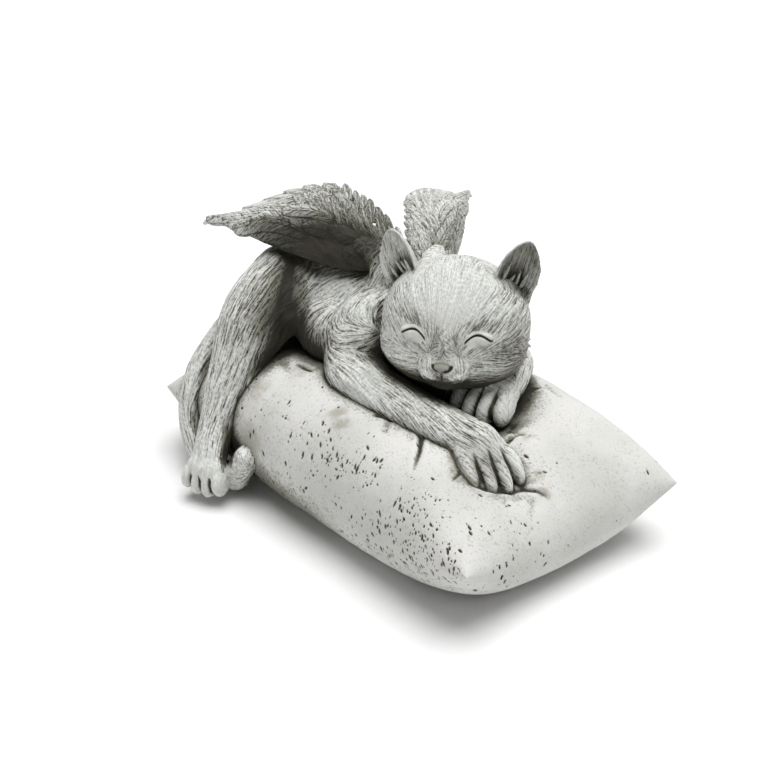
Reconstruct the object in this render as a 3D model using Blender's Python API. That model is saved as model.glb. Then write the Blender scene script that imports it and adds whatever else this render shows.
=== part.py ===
"""Angel cat statue: a sleeping winged kitten on a fat pillow, cast as one piece of stone.

The casting lies with the pillow's long side along X, its flat underside on z = 0 and the origin
at the middle of that underside.  The kitten sleeps belly down, its head towards +X and -Y.
Run it with:  blender --background --python part.py
"""
from math import cos, pi, radians, sin

import bmesh
import bpy
import numpy as np
from mathutils import Matrix, Vector

NODE = "angel_cat_statue"

# Driving sizes, in metres.
LENGTH = 0.300             # pillow, tip to tip along X
WIDTH = 0.172              # pillow, tip to tip along Y
SEAM_HEIGHT = 0.041        # the pillow's corner tips above the ground
PILLOW_RISE = 0.051        # puffed upper half above the seam
PILLOW_DROP = 0.050        # lower half below the seam, before the flat is cut
HEAD_CENTRE = (0.0345, 0.0075, 0.131)
HEAD_TURN = -52.7          # where the face looks, in degrees from +X
HEAD_PITCH = 0.0           # nose up
SHOULDER_TURN = -17.0      # where the shoulders point, in degrees from +X
WING_THICKNESS = 0.0075
FEATHER_CROWN = 0.0014     # how far a feather's middle stands above its edges
SKIN_VOXEL = 0.0022        # grain of the blended body
CAST_VOXEL = 0.0015        # grain of the finished casting
FACET_SHARE = 0.035        # share of the fine skin's faces kept on the solid

STONE_COLOUR = (0.56, 0.57, 0.54, 1.0)


def mm(*values):
    """A point or a size given in millimetres."""
    return Vector([value * 0.001 for value in values])


def object_from_bmesh(name, form):
    mesh = bpy.data.meshes.new(name)
    form.to_mesh(mesh)
    form.free()
    made = bpy.data.objects.new(name, mesh)
    bpy.context.scene.collection.objects.link(made)
    return made


def ball(centre, radii, turn=None, subdivisions=4):
    """An ellipsoid with its own axes turned by a 3 x 3 matrix."""
    form = bmesh.new()
    bmesh.ops.create_icosphere(form, subdivisions=subdivisions, radius=1.0)
    place = Matrix.Translation(centre)
    if turn is not None:
        place = place @ turn.to_4x4()
    place = place @ Matrix.Diagonal((*radii, 1.0))
    bmesh.ops.transform(form, matrix=place, verts=form.verts)
    return object_from_bmesh("ball", form)


def limb(stations):
    """A round limb through (x, y, z, radius) stations in millimetres, with domed ends."""
    curve = bpy.data.curves.new("limb", "CURVE")
    curve.dimensions = "3D"
    curve.bevel_depth = 1.0
    curve.bevel_resolution = 6
    curve.resolution_u = 10
    curve.use_fill_caps = True
    spline = curve.splines.new("BEZIER")
    spline.bezier_points.add(len(stations) - 1)
    for point, (x, y, z, radius) in zip(spline.bezier_points, stations):
        point.co = mm(x, y, z)
        point.radius = radius * 0.001
        point.handle_left_type = "AUTO"
        point.handle_right_type = "AUTO"
    tube = bpy.data.objects.new("limb", curve)
    bpy.context.scene.collection.objects.link(tube)
    ends = [ball(mm(x, y, z), mm(radius, radius, radius), subdivisions=3)
            for x, y, z, radius in (stations[0], stations[-1])]
    return [tube, *ends]


def grid_shell(front, back):
    """A closed form between two grids of points whose rims lie on each other's borders."""
    rows, columns = front.shape[:2]
    form = bmesh.new()
    top = [[form.verts.new(front[i, j]) for j in range(columns)] for i in range(rows)]
    low = [[form.verts.new(back[i, j]) for j in range(columns)] for i in range(rows)]
    for i in range(rows - 1):
        for j in range(columns - 1):
            form.faces.new((top[i][j], top[i + 1][j], top[i + 1][j + 1], top[i][j + 1]))
            form.faces.new((low[i][j], low[i][j + 1], low[i + 1][j + 1], low[i + 1][j]))
    rim = [(i, 0) for i in range(rows)] + [(rows - 1, j) for j in range(1, columns)]
    rim += [(i, columns - 1) for i in range(rows - 2, -1, -1)]
    rim += [(0, j) for j in range(columns - 2, 0, -1)]
    for (a, b), (c, d) in zip(rim, rim[1:] + rim[:1]):
        form.faces.new((top[a][b], low[a][b], low[c][d], top[c][d]))
    bmesh.ops.recalc_face_normals(form, faces=form.faces)
    return object_from_bmesh("shell", form)


def fuse(name, pieces, voxel, smoothing):
    """Join overlapping closed forms into one skin and soften it."""
    form = bmesh.new()
    for piece in pieces:
        view = piece.evaluated_get(bpy.context.evaluated_depsgraph_get())
        mesh = bpy.data.meshes.new_from_object(view)
        mesh.transform(piece.matrix_world)
        form.from_mesh(mesh)
        bpy.data.meshes.remove(mesh)
        bpy.data.objects.remove(piece)
    made = object_from_bmesh(name, form)
    remesh = made.modifiers.new("Skin", "REMESH")
    remesh.mode = "VOXEL"
    remesh.voxel_size = voxel
    if smoothing:
        soften = made.modifiers.new("Soften", "SMOOTH")
        soften.factor = 0.5
        soften.iterations = smoothing
    return made


def islands(form):
    """The groups of joined vertices of a bmesh, largest first."""
    waiting = set(form.verts)
    found = []
    while waiting:
        group = [waiting.pop()]
        for vertex in group:
            for edge in vertex.link_edges:
                other = edge.other_vert(vertex)
                if other in waiting:
                    waiting.remove(other)
                    group.append(other)
        found.append(group)
    return sorted(found, key=len, reverse=True)


def outer_skin(source):
    """Bake an object's modifiers and keep its outer skin, without pockets inside the stone."""
    form = bmesh.new()
    form.from_object(source, bpy.context.evaluated_depsgraph_get())
    for group in islands(form)[1:]:
        bmesh.ops.delete(form, geom=group, context="VERTS")
    name = source.name
    bpy.data.objects.remove(source)
    return object_from_bmesh(name, form)


# ---------------------------------------------------------------- the pillow
# Dents pressed by the kitten, in millimetres: centre x and y, half sizes, turn, depth.
DENTS = ((40, -12, 66, 26, 0, 12), (112, -16, 30, 26, 10, 11), (54, 22, 38, 30, -62, 16),
         (-40, 4, 60, 36, 0, 8))
# Creases the dents pull into the cloth: x and y of both ends, half width, depth.
CREASES = ((28, -34, 44, -56, 3, 3.0), (-2, -44, 12, -46, 3, 2.5), (128, -16, 142, -30, 3, 2.5),
           (56, 66, 74, 60, 3, 3.0), (86, 8, 100, 16, 3, 2.5), (-60, -52, -46, -58, 4, 2.5))


def press(x, y):
    """How far the kitten's weight pushes the pillow's top down at x, y."""
    depth = 0
    for cx, cy, along, across, turn, deep in DENTS:
        dx = x * 1000 - cx
        dy = y * 1000 - cy
        a = (dx * cos(radians(turn)) + dy * sin(radians(turn))) / along
        b = (dy * cos(radians(turn)) - dx * sin(radians(turn))) / across
        depth = np.maximum(depth, deep * 0.001 * np.exp(-a ** 2 - b ** 2))
    for ax, ay, bx, by, half, deep in CREASES:
        run = (bx - ax) ** 2 + (by - ay) ** 2
        along = np.clip(((x * 1000 - ax) * (bx - ax) + (y * 1000 - ay) * (by - ay)) / run, 0, 1)
        away = np.hypot(x * 1000 - ax - along * (bx - ax), y * 1000 - ay - along * (by - ay))
        depth = depth + deep * 0.001 * (1 - 0.6 * along) * np.exp(-(away / half) ** 2)
    return depth


def pillow():
    """A stuffed pillow: two puffed sheets meeting at the seam, pinched at the corners."""
    columns, rows = 181, 121
    across, along = np.meshgrid(np.linspace(-1, 1, rows), np.linspace(-1, 1, columns))
    u = np.sin(along * pi / 2)
    v = np.sin(across * pi / 2)
    x = LENGTH / 2 * u * (1 - 0.02 * (1 - v ** 2))
    y = WIDTH / 2 * v * (1 + 0.04 * (1 - u ** 4))
    near_corner = np.clip(u, 0, 1) ** 2 * np.clip(-v, 0, 1) ** 2
    seam = SEAM_HEIGHT - 0.009 * (1 - v ** 2) * u ** 2 - 0.002 * (1 - u ** 2)
    seam = seam + 0.009 * near_corner
    fill = (1 - np.abs(u) ** 3.6) ** 0.55 * (1 - np.abs(v) ** 3.6) ** 0.52
    upper = seam + PILLOW_RISE * fill - press(x, y) * fill
    under = seam - PILLOW_DROP * (1 - np.abs(u) ** 3.4) ** 0.5 * (1 - np.abs(v) ** 3.2) ** 0.5
    top = np.stack([x, y, upper], axis=-1)
    bottom = np.stack([x, y, under], axis=-1)
    return grid_shell(top, bottom)


# ------------------------------------------------------------------ the head
def head_frame():
    """The head's axes: x out of the face, y to the kitten's left, z out of the crown."""
    turn = Matrix.Rotation(radians(HEAD_TURN), 3, "Z")
    return turn @ Matrix.Rotation(radians(-HEAD_PITCH), 3, "Y")


def head_point(x, y, z):
    return Vector(HEAD_CENTRE) + head_frame() @ mm(x, y, z)


def head_ball(x, y, z, rx, ry, rz):
    return ball(head_point(x, y, z), mm(rx, ry, rz), head_frame())


def skull():
    """Skull, cheeks and muzzle, blended into the body."""
    forms = [head_ball(0, 0, 1, 38, 45, 40), head_ball(7, 0, -11, 31, 45, 26)]
    forms.append(head_ball(33, 0, -12, 12, 17, 12))
    forms.append(head_ball(35, 0, -3, 9, 7, 15))
    forms.append(head_ball(28, 0, -22, 10, 14, 8))
    return forms


def face():
    """Nose and closed eyelids, kept crisp."""
    forms = [head_ball(45, 0, -8, 3.5, 4.5, 3.5)]
    for side in (-1, 1):
        forms.append(head_ball(31.5, side * 19.5, 7, 3.4, 8.5, 5.0))
        forms.append(head_ball(39.5, side * 6.5, -15, 6, 7, 6))
    return forms


EAR_NOTCH = 0.30              # how far the ear's outer edge draws in at its root


def ear(side):
    """A cupped triangular ear with a rounded tip, its root sunk in the skull."""
    frame = head_frame()
    root = head_point(1, side * 35, 24)
    rise = mm(-6, side * 8, 30)
    wide = mm(6, -side * 12, 9)
    facing = rise.cross(wide).normalized() * side
    rows, columns = 17, 13
    front = np.zeros((rows, columns, 3))
    back = np.zeros((rows, columns, 3))
    for i in range(rows):
        height = i / (rows - 1) * 1.3 - 0.3
        taper = (1 - max(height, 0) ** 2.0) ** 0.85 * 0.93 + 0.07
        for j in range(columns):
            across = 2 * j / (columns - 1) - 1
            hollow = facing * (-0.009 * (1 - across ** 2) * taper)
            if across < 0:
                across *= 1 - EAR_NOTCH * cos(min(max(height, 0) / 0.6, 1) * pi / 2)
            point = rise * height + wide * (across * taper) + hollow
            wall = facing * (0.0032 * (1 - 0.5 * abs(across) ** 4) * (1 - 0.4 * max(height, 0)))
            front[i, j] = root + frame @ (point + wall * 0.3)
            back[i, j] = root + frame @ (point - wall)
    return grid_shell(front, back)


def tuft(x, y, z, lean):
    """A pointed lock of fur on the head, leaning along (x, y, z) in the head's axes."""
    form = bmesh.new()
    bmesh.ops.create_cone(form, cap_ends=True, segments=8, radius1=0.0036, radius2=0.0004, depth=0.014)
    ahead = (head_frame() @ Vector(lean)).normalized()
    place = Matrix.Translation(head_point(x, y, z)) @ ahead.to_track_quat("Z", "Y").to_matrix().to_4x4()
    bmesh.ops.transform(form, matrix=place, verts=form.verts)
    return object_from_bmesh("tuft", form)


def locks():
    """Shaggy cheeks, and fur standing in the mouths of the ears."""
    forms = []
    for side in (-1, 1):
        for k in range(6):
            angle = radians(30 - 11 * k)
            forms.append(tuft(2 + 1.5 * k, side * 42.0 * cos(angle), -4 + 34 * sin(angle),
                              (-0.7, side * 0.6, -0.75)))
        for k in range(4):
            forms.append(tuft(12 - 2 * k, side * (24 + 5 * k), 36 - 4.5 * k, (-0.2, side * 0.3, 1)))
    return forms


# -------------------------------------------------------------------- wings
def smooth_path(stations, t):
    """A point on the Catmull-Rom curve through these stations."""
    points = [Vector(station) for station in stations]
    points = [points[0] * 2 - points[1], *points, points[-1] * 2 - points[-2]]
    place = min(max(t, 0.0), 1.0) * (len(points) - 3)
    i = min(int(place), len(points) - 4)
    f = place - i
    a, b, c, d = points[i:i + 4]
    return (b * 2 + (c - a) * f + (a * 2 - b * 5 + c * 4 - d) * f ** 2
            + (b * 3 - a - c * 3 + d) * f ** 3) * 0.5


# stations in millimetres from the wing's root: back, out, up
RIDGE = ((0, 2, 4), (22, 13, 17), (45, 24, 23.5), (66, 44, 18.5), (82, 69, 5.5), (95, 94, -3))
LOWER = ((-2, 17, -11), (9, 33, -11), (28, 50, -9), (50, 66, -6), (72, 80, -3), (95, 94, -2))
WING_ROOTS = {-1: (-0.029, 0.013, 0.155), 1: (-0.0262, 0.0241, 0.140)}
WING_TURNS = {-1: 0.0, 1: 4.0}
COVERT_TIPS = ((0.71, 0.70), (0.555, 0.48), (0.43, 0.64), (0.30, 0.52), (0.20, 0.76), (0.13, 0.50))


class Wing:
    """A swept wing: s runs from root to tip, t from the ridge down to the lower edge."""

    def __init__(self, side):
        self.side = side
        self.frame = Matrix.Rotation(radians(SHOULDER_TURN + WING_TURNS[side]), 3, "Z")

    def station(self, edge, s):
        back, out, up = smooth_path(edge, s)
        return mm(-back, self.side * out, up)

    def surface(self, s, t, lift=0.0):
        ridge = self.station(RIDGE, s)
        chord = self.station(LOWER, s) - ridge
        span = self.station(RIDGE, s + 0.03) - self.station(RIDGE, s - 0.03)
        out = chord.cross(span).normalized() * self.side
        bulge = 0.20 * chord.length * 4 * t * (1 - t)
        return Vector(WING_ROOTS[self.side]) + self.frame @ (ridge + chord * t + out * (bulge + lift))

    def blade(self):
        """The wing's plain body, thinning towards the tip and both edges."""
        rows, columns = 33, 13
        front = np.zeros((rows, columns, 3))
        back = np.zeros((rows, columns, 3))
        for i in range(rows):
            s = i / (rows - 1)
            for j in range(columns):
                t = j / (columns - 1)
                wall = WING_THICKNESS * (1 - abs(2 * t - 1) ** 3 * 0.8) * (1 - 0.65 * s)
                front[i, j] = self.surface(s, t, wall * 0.2)
                back[i, j] = self.surface(s, t, -wall * 0.8)
        return grid_shell(front, back)

    def feather(self, start, end, width, lift):
        """A round-tipped feather laid on the wing from one (s, t) place to another."""
        rows, columns = 9, 5
        front = np.zeros((rows, columns, 3))
        back = np.zeros((rows, columns, 3))
        places = [[a + (b - a) * i / (rows - 1) for a, b in zip(start, end)] for i in range(rows)]
        points = [self.surface(s, t, lift * i / (rows - 1)) for i, (s, t) in enumerate(places)]
        for i, (s, t) in enumerate(places):
            f = i / (rows - 1)
            along = points[min(i + 1, rows - 1)] - points[max(i - 1, 0)]
            out = (self.surface(s, t, 0.001) - self.surface(s, t, 0)).normalized()
            sideways = along.cross(out).normalized()
            half = width * max(1 - (max(f - 0.5, 0) / 0.5) ** 2.5, 0.15) * min(0.6 + f, 1)
            for j in range(columns):
                across = 2 * j / (columns - 1) - 1
                middle = points[i] + sideways * (across * half)
                front[i, j] = middle + out * (FEATHER_CROWN * (1 - across ** 2))
                back[i, j] = middle - out * 0.003
        return grid_shell(front, back)

    def feathers(self):
        """Long feathers to the tip and over the ridge, round coverts, and narrow ones at the root."""
        laid = []
        for k in range(6):
            laid.append(self.feather((0.28 + 0.05 * k, 0.88 - 0.10 * k),
                                     (0.84 + 0.035 * k, 0.96 - 0.13 * k), 0.0065, 0.0020))
        for k in range(5):
            tip = 0.82 - 0.085 * k
            laid.append(self.feather((tip - 0.34, 0.30), (tip, 0.05 - 0.025 * k), 0.0045, 0.0030))
        for s, t in COVERT_TIPS:
            laid.append(self.feather((s - 0.26, t - 0.10), (s, t), 0.0048, 0.0030))
        for k in range(9):
            s = 0.06 * k
            laid.append(self.feather((s - 0.02, 0.28), (s + 0.08, -0.16 + 0.01 * k), 0.0030, 0.0034))
        return laid


def shoulder_blades():
    """The lumps of muscle that carry the wings."""
    forms = []
    for side in (-1, 1):
        wing = Wing(side)
        held = [wing.surface(s, 0.5) * 1000 for s in (0.0, 0.12)]
        back = Vector((-22, 6, 130)) if side < 0 else Vector((-14, 28, 128))
        forms += limb([(*back, 15), (*held[0], 10), (*held[1], 6)])
    return forms


# --------------------------------------------------------------- body, limbs
# Stations along each limb, in millimetres: x, y, z and radius.
TORSO = ((-93, -8, 104, 29), (-72, -2, 106, 32), (-45, 8, 110, 33), (-14, 14, 113, 32), (12, 12, 116, 30))
RIGHT_HIND_LEG = ((-93, -22, 117, 28), (-90, -49, 105, 24.5), (-86, -71, 79, 17.5), (-82, -88, 52, 12),
                  (-74, -103, 30, 11))
LEFT_THIGH = ((-88, 26, 104, 27), (-60, 44, 96, 21))
LEFT_HIND_FOOT = ((-80, 52, 88, 14), (-56, 60, 84, 11), (-40, 62, 84, 10))
RIGHT_FORELEG = ((-22, -8, 112, 25), (-20, -29, 92, 18), (8, -33, 87, 16.5), (36, -32, 86, 15),
                 (70, -28, 84, 14.5), (88, -21, 81, 13))
LEFT_FORELEG = ((12, 34, 104, 20), (31, 57, 88, 12.5), (46, 44, 90, 13), (58, 26, 91, 13))
TAIL = ((-110, -28, 104, 13), (-121, -58, 80, 10), (-120, -82, 52, 9), (-110, -92, 26, 8.5),
        (-88, -94, 12, 8), (-64, -91, 13, 8.5))
TAIL_TIP = ((-64, -91, 13, 8.5), (-57, -91, 24, 8.5), (-52, -90, 33, 8))
# Rounded masses, in millimetres: centre, then half sizes.
BELLY = ((-52, -12, 101), (34, 28, 27))
RUMP = ((-90, 6, 110), (32, 34, 29))
LEFT_SHOULDER = ((0, 36, 119), (27, 27, 27))
THROAT = ((26, 10, 96), (26, 24, 20))


def body():
    """The soft masses and limbs that blend into each other."""
    forms = []
    for stations in (TORSO, RIGHT_HIND_LEG, LEFT_THIGH, LEFT_HIND_FOOT, RIGHT_FORELEG, LEFT_FORELEG, TAIL):
        forms += limb(stations)
    for centre, radii in (BELLY, RUMP, LEFT_SHOULDER, THROAT):
        forms.append(ball(mm(*centre), mm(*radii)))
    return forms


def paw(heel, toward, width, length, height, toe_drop=0.0):
    """A flat paw with four toes parted by grooves, from the wrist towards the claws."""
    ahead = Vector(toward).normalized()
    side = Vector((0, 0, 1)).cross(ahead).normalized()
    up = ahead.cross(side)
    turn = Matrix((ahead, side, up)).transposed()
    heel = mm(*heel)
    palm = ball(heel + ahead * length * 0.0002, mm(length * 0.52, width * 0.46, height * 0.5), turn)
    toes = []
    for k in range(4):
        across = (k - 1.5) / 1.5
        reach = length * (0.92 - 0.14 * across ** 2)
        root = heel + ahead * (reach * 0.0003) + side * (across * width * 0.00033)
        toe = heel + ahead * (reach * 0.001) + side * (across * width * 0.00038)
        toe = toe + up * (toe_drop * 0.001)
        line = toe - root
        axis = line.normalized()
        across_axis = up.cross(axis).normalized()
        roll = Matrix((axis, across_axis, axis.cross(across_axis))).transposed()
        half = line.length * 500 + width * 0.13
        toes.append(ball((root + toe) / 2, mm(half, width * 0.148, height * 0.42), roll))
    return palm, toes


def paws():
    """The four palms, which blend into the legs, and their toes, which stay crisp."""
    made = [paw((87, -23, 80), (0.89, -0.21, -0.40), width=40, length=34, height=22, toe_drop=-2),
            paw((60, 18, 94), (0.30, -0.92, -0.22), width=39, length=29, height=24, toe_drop=-2),
            paw((-72, -106, 27), (0.12, -0.30, -0.95), width=31, length=21, height=22),
            paw((-36, 66, 82), (0.95, 0.10, -0.10), width=24, length=20, height=16)]
    palms = [palm for palm, toes in made]
    return palms, [toe for palm, toes in made for toe in toes]


def plainness(point):
    """1 on the smooth pillow and flanks, less on the face and forepaws, and on other carving."""
    carved = [(head_point(34, 0, -4), 0.030), ((0.105, -0.024, 0.075), 0.026), ((0.062, 0.010, 0.084), 0.020)]
    shaped = [(HEAD_CENTRE, 0.060), ((-0.066, -0.104, 0.022), 0.034)]
    shaped += [((-0.070, -0.030, 0.165), 0.070), ((-0.065, 0.075, 0.165), 0.070)]
    for places, share in ((carved, 0.93), (shaped, 0.97)):
        if any((point - Vector(centre)).length < reach for centre, reach in places):
            return share
    return 1.0


def ground_block():
    """The space below the ground, which cuts the underside flat."""
    form = bmesh.new()
    bmesh.ops.create_cube(form, size=1.0)
    bmesh.ops.transform(form, matrix=Matrix.Translation((0, 0, -0.5)), verts=form.verts)
    block = object_from_bmesh("ground", form)
    block.hide_render = True
    block.display_type = "WIRE"
    return block


def main():
    for old in list(bpy.data.objects):
        bpy.data.objects.remove(old)
    palms, toes = paws()
    flesh = fuse("flesh", body() + palms + skull() + shoulder_blades(), SKIN_VOXEL, 8)
    crisp = [pillow(), *face(), *locks(), *toes, *limb(TAIL_TIP)]
    for side in (-1, 1):
        wing = Wing(side)
        crisp += [ear(side), wing.blade(), *wing.feathers()]
    statue = outer_skin(fuse(NODE, [flesh, *crisp], CAST_VOXEL, 1))
    plain = statue.vertex_groups.new(name="plain")
    for vertex in statue.data.vertices:
        plain.add([vertex.index], plainness(vertex.co), "REPLACE")
    thin = statue.modifiers.new("Facets", "DECIMATE")
    thin.ratio = FACET_SHARE
    thin.vertex_group = plain.name
    thin.vertex_group_factor = 1.0
    ground = ground_block()
    cut = statue.modifiers.new("Underside", "BOOLEAN")
    cut.operation = "DIFFERENCE"
    cut.object = ground
    stone = bpy.data.materials.new("cast_stone")
    stone.use_nodes = True
    shader = stone.node_tree.nodes["Principled BSDF"]
    shader.inputs["Base Color"].default_value = STONE_COLOUR
    shader.inputs["Roughness"].default_value = 0.85
    statue.data.materials.append(stone)


main()
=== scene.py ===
from contextlib import contextmanager
from itertools import product
from math import cos, pi, radians, sin

import bmesh
import bpy
import numpy as np
from mathutils import Matrix, Vector
from mathutils.bvhtree import BVHTree
from mathutils.kdtree import KDTree


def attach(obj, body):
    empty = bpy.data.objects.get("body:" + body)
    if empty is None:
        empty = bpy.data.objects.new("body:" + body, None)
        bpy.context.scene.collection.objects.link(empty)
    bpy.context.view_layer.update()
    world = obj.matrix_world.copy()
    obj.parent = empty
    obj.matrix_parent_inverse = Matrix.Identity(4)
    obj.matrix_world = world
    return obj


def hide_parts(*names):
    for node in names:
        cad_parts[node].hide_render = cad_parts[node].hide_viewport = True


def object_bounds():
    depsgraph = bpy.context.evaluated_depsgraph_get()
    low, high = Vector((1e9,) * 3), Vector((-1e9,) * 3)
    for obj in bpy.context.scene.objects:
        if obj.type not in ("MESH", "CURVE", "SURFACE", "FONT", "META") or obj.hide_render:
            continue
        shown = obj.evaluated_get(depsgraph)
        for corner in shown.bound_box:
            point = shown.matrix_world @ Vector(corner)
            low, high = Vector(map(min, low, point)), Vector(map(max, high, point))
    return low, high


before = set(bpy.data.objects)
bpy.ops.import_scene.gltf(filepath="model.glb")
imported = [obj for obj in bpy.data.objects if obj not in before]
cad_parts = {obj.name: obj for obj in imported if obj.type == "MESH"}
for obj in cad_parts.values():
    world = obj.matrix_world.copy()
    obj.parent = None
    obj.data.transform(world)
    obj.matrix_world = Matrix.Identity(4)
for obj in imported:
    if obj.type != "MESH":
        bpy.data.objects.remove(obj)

cad_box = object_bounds()
floor_height = cad_box[0][2]

# ------------------------------------------------------------ the pillow's form
# The statue is one casting.  Its plain masses are made first, because each one's carving and
# shading depends on its neighbours.  The pillow is two puffed sheets of cloth meeting at a seam,
# copied in stone, dented and creased by the kitten's weight.
PILLOW_LENGTH = 0.300
PILLOW_WIDTH = 0.172
SEAM_HEIGHT = 0.041
PILLOW_RISE = 0.051
PILLOW_DROP = 0.050
SIDE_DRAW = 0.02           # how far the ends pull in between their corners, as a share
LONG_BULGE = 0.04          # how far the long sides stand out halfway, as a share
END_SAG = 0.009            # how far the seam hangs halfway along an end
SIDE_SAG = 0.002           # and halfway along a long side
CORNER_LIFT = 0.009        # how far the near corner of the open end turns up
# Dents in millimetres: centre x and y, half sizes, turn in degrees, depth.
DENTS = ((40, -12, 66, 26, 0, 12), (112, -16, 30, 26, 10, 11), (54, 22, 38, 30, -62, 16),
         (-40, 4, 60, 36, 0, 8))
# Soft pulls in the cloth, in millimetres: x and y of both ends, half width, depth.
PULLS = ((28, -34, 44, -56, 3, 3.0), (-2, -44, 12, -46, 3, 2.5), (128, -16, 142, -30, 3, 2.5),
         (56, 66, 74, 60, 3, 3.0), (86, 8, 100, 16, 3, 2.5), (-60, -52, -46, -58, 4, 2.5))


def mm(*values):
    """A point or a size given in millimetres."""
    return Vector([value * 0.001 for value in values])


def bell(value, width, power=2):
    """1 where a value is 0, falling off softly over a width."""
    return np.exp(-(value / width) ** power)


def new_object(name, data):
    made = bpy.data.objects.new(name, data)
    bpy.context.scene.collection.objects.link(made)
    return made


def object_from_bmesh(name, form):
    mesh = bpy.data.meshes.new(name)
    form.to_mesh(mesh)
    form.free()
    return new_object(name, mesh)


def skin_of(made):
    return BVHTree.FromObject(made, bpy.context.evaluated_depsgraph_get())


def grid_shell(front, back):
    """A closed form between two grids of points, front facing out and back facing in."""
    rows, columns = front.shape[:2]
    top = np.arange(rows * columns).reshape(rows, columns)
    faces = [np.stack([grid[:-1, :-1], grid[1:, :-1], grid[1:, 1:], grid[:-1, 1:]], axis=-1).reshape(-1, 4)
             for grid in (top, top[:, ::-1] + rows * columns)]
    rim = np.concatenate([top[:, 0], top[-1, 1:], top[-2::-1, -1], top[0, -2:0:-1]])
    onward = np.roll(rim, -1)
    faces.append(np.stack([rim, rim + rows * columns, onward + rows * columns, onward], axis=-1))
    mesh = bpy.data.meshes.new("shell")
    points = np.concatenate([front.reshape(-1, 3), back.reshape(-1, 3)])
    mesh.from_pydata(points.tolist(), [], np.concatenate(faces).tolist())
    form = bmesh.new()
    form.from_mesh(mesh)
    bpy.data.meshes.remove(mesh)
    bmesh.ops.remove_doubles(form, verts=form.verts, dist=0.00001)
    bmesh.ops.recalc_face_normals(form, faces=form.faces)
    if form.calc_volume(signed=True) < 0:
        bmesh.ops.reverse_faces(form, faces=form.faces)
    return object_from_bmesh("shell", form)


def press(x, y):
    """How far the kitten's weight pushes the pillow's top down at x, y."""
    depth = 0
    for cx, cy, along, across, turn, deep in DENTS:
        dx = x * 1000 - cx
        dy = y * 1000 - cy
        a = (dx * cos(radians(turn)) + dy * sin(radians(turn))) / along
        b = (dy * cos(radians(turn)) - dx * sin(radians(turn))) / across
        depth = np.maximum(depth, deep * 0.001 * np.exp(-a ** 2 - b ** 2))
    for ax, ay, bx, by, half, deep in PULLS:
        run = (bx - ax) ** 2 + (by - ay) ** 2
        along = np.clip(((x * 1000 - ax) * (bx - ax) + (y * 1000 - ay) * (by - ay)) / run, 0, 1)
        away = np.hypot(x * 1000 - ax - along * (bx - ax), y * 1000 - ay - along * (by - ay))
        depth = depth + deep * 0.001 * (1 - 0.6 * along) * bell(away, half)
    return depth


def pillow(columns, rows):
    """The pillow as a closed form, its underside flat on the ground."""
    across, along = np.meshgrid(np.linspace(-1, 1, rows), np.linspace(-1, 1, columns))
    u = np.sin(along * pi / 2)
    v = np.sin(across * pi / 2)
    x = PILLOW_LENGTH / 2 * u * (1 - SIDE_DRAW * (1 - v ** 2))
    y = PILLOW_WIDTH / 2 * v * (1 + LONG_BULGE * (1 - u ** 4))
    near_corner = np.clip(u, 0, 1) ** 2 * np.clip(-v, 0, 1) ** 2
    seam = SEAM_HEIGHT - END_SAG * (1 - v ** 2) * u ** 2 - SIDE_SAG * (1 - u ** 2)
    seam = seam + CORNER_LIFT * near_corner
    fill = (1 - np.abs(u) ** 3.6) ** 0.55 * (1 - np.abs(v) ** 3.6) ** 0.52
    upper = seam + PILLOW_RISE * fill - press(x, y) * fill
    under = seam - PILLOW_DROP * (1 - np.abs(u) ** 3.4) ** 0.5 * (1 - np.abs(v) ** 3.2) ** 0.5
    under = np.maximum(under, floor_height)
    return grid_shell(np.stack([x, y, upper], axis=-1), np.stack([x, y, under], axis=-1))


pillow_form = pillow(141, 91)
pillow_skin = skin_of(pillow_form)

# ------------------------------------------------------------- the kitten's form
# The kitten lies belly down across the pillow, one hind leg and the tail hanging over the long
# side.  Its body and limbs blend into each other; the toes and the tail's tip stay crisp.
# Each limb is a run of stations in millimetres: x, y, z and radius.
LIMBS = {
    "torso": ((-93, -8, 104, 29), (-72, -2, 106, 32), (-45, 8, 110, 33), (-14, 14, 113, 32),
              (12, 12, 116, 30)),
    "right hind leg": ((-93, -22, 117, 28), (-90, -49, 105, 24.5), (-86, -71, 79, 17.5),
                       (-82, -88, 52, 12), (-74, -103, 30, 11)),
    "left thigh": ((-88, 26, 104, 27), (-60, 44, 96, 21)),
    "left hind foot": ((-80, 52, 88, 14), (-56, 60, 84, 11), (-40, 62, 84, 10)),
    "right foreleg": ((-22, -8, 112, 25), (-20, -29, 92, 18), (8, -33, 87, 16.5), (36, -32, 86, 15),
                      (70, -28, 84, 14.5), (88, -21, 81, 13)),
    "left foreleg": ((12, 34, 104, 20), (31, 57, 88, 12.5), (46, 44, 90, 13), (58, 26, 91, 13)),
    "tail": ((-110, -28, 104, 13), (-121, -58, 80, 10), (-120, -82, 52, 9), (-110, -92, 26, 8.5),
             (-88, -94, 12, 8), (-64, -91, 13, 8.5)),
}
TAIL_TIP = ((-64, -91, 13, 8.5), (-57, -91, 24, 8.5), (-52, -90, 33, 8))
# Rounded masses, in millimetres: centre, then half sizes.
MASSES = {
    "belly": ((-52, -12, 101), (34, 28, 27)),
    "rump": ((-90, 6, 110), (32, 34, 29)),
    "left shoulder": ((0, 36, 119), (27, 27, 27)),
    "throat": ((26, 10, 96), (26, 24, 20)),
}
# Paws, in millimetres: heel, direction of the toes, width, length, height, drop of the toes.
PAWS = (((87, -23, 80), (0.89, -0.21, -0.40), 40, 34, 22, -2),
        ((60, 18, 94), (0.30, -0.92, -0.22), 39, 29, 24, -2),
        ((-72, -106, 27), (0.12, -0.30, -0.95), 31, 21, 22, 0),
        ((-36, 66, 82), (0.95, 0.10, -0.10), 24, 20, 16, 0))
TOE_SPREAD = (0.33, 0.38)      # how far the outer toes stand out, at root and tip, in paw widths
SKIN_VOXEL = 0.0015            # grain of the blended flesh


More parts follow.
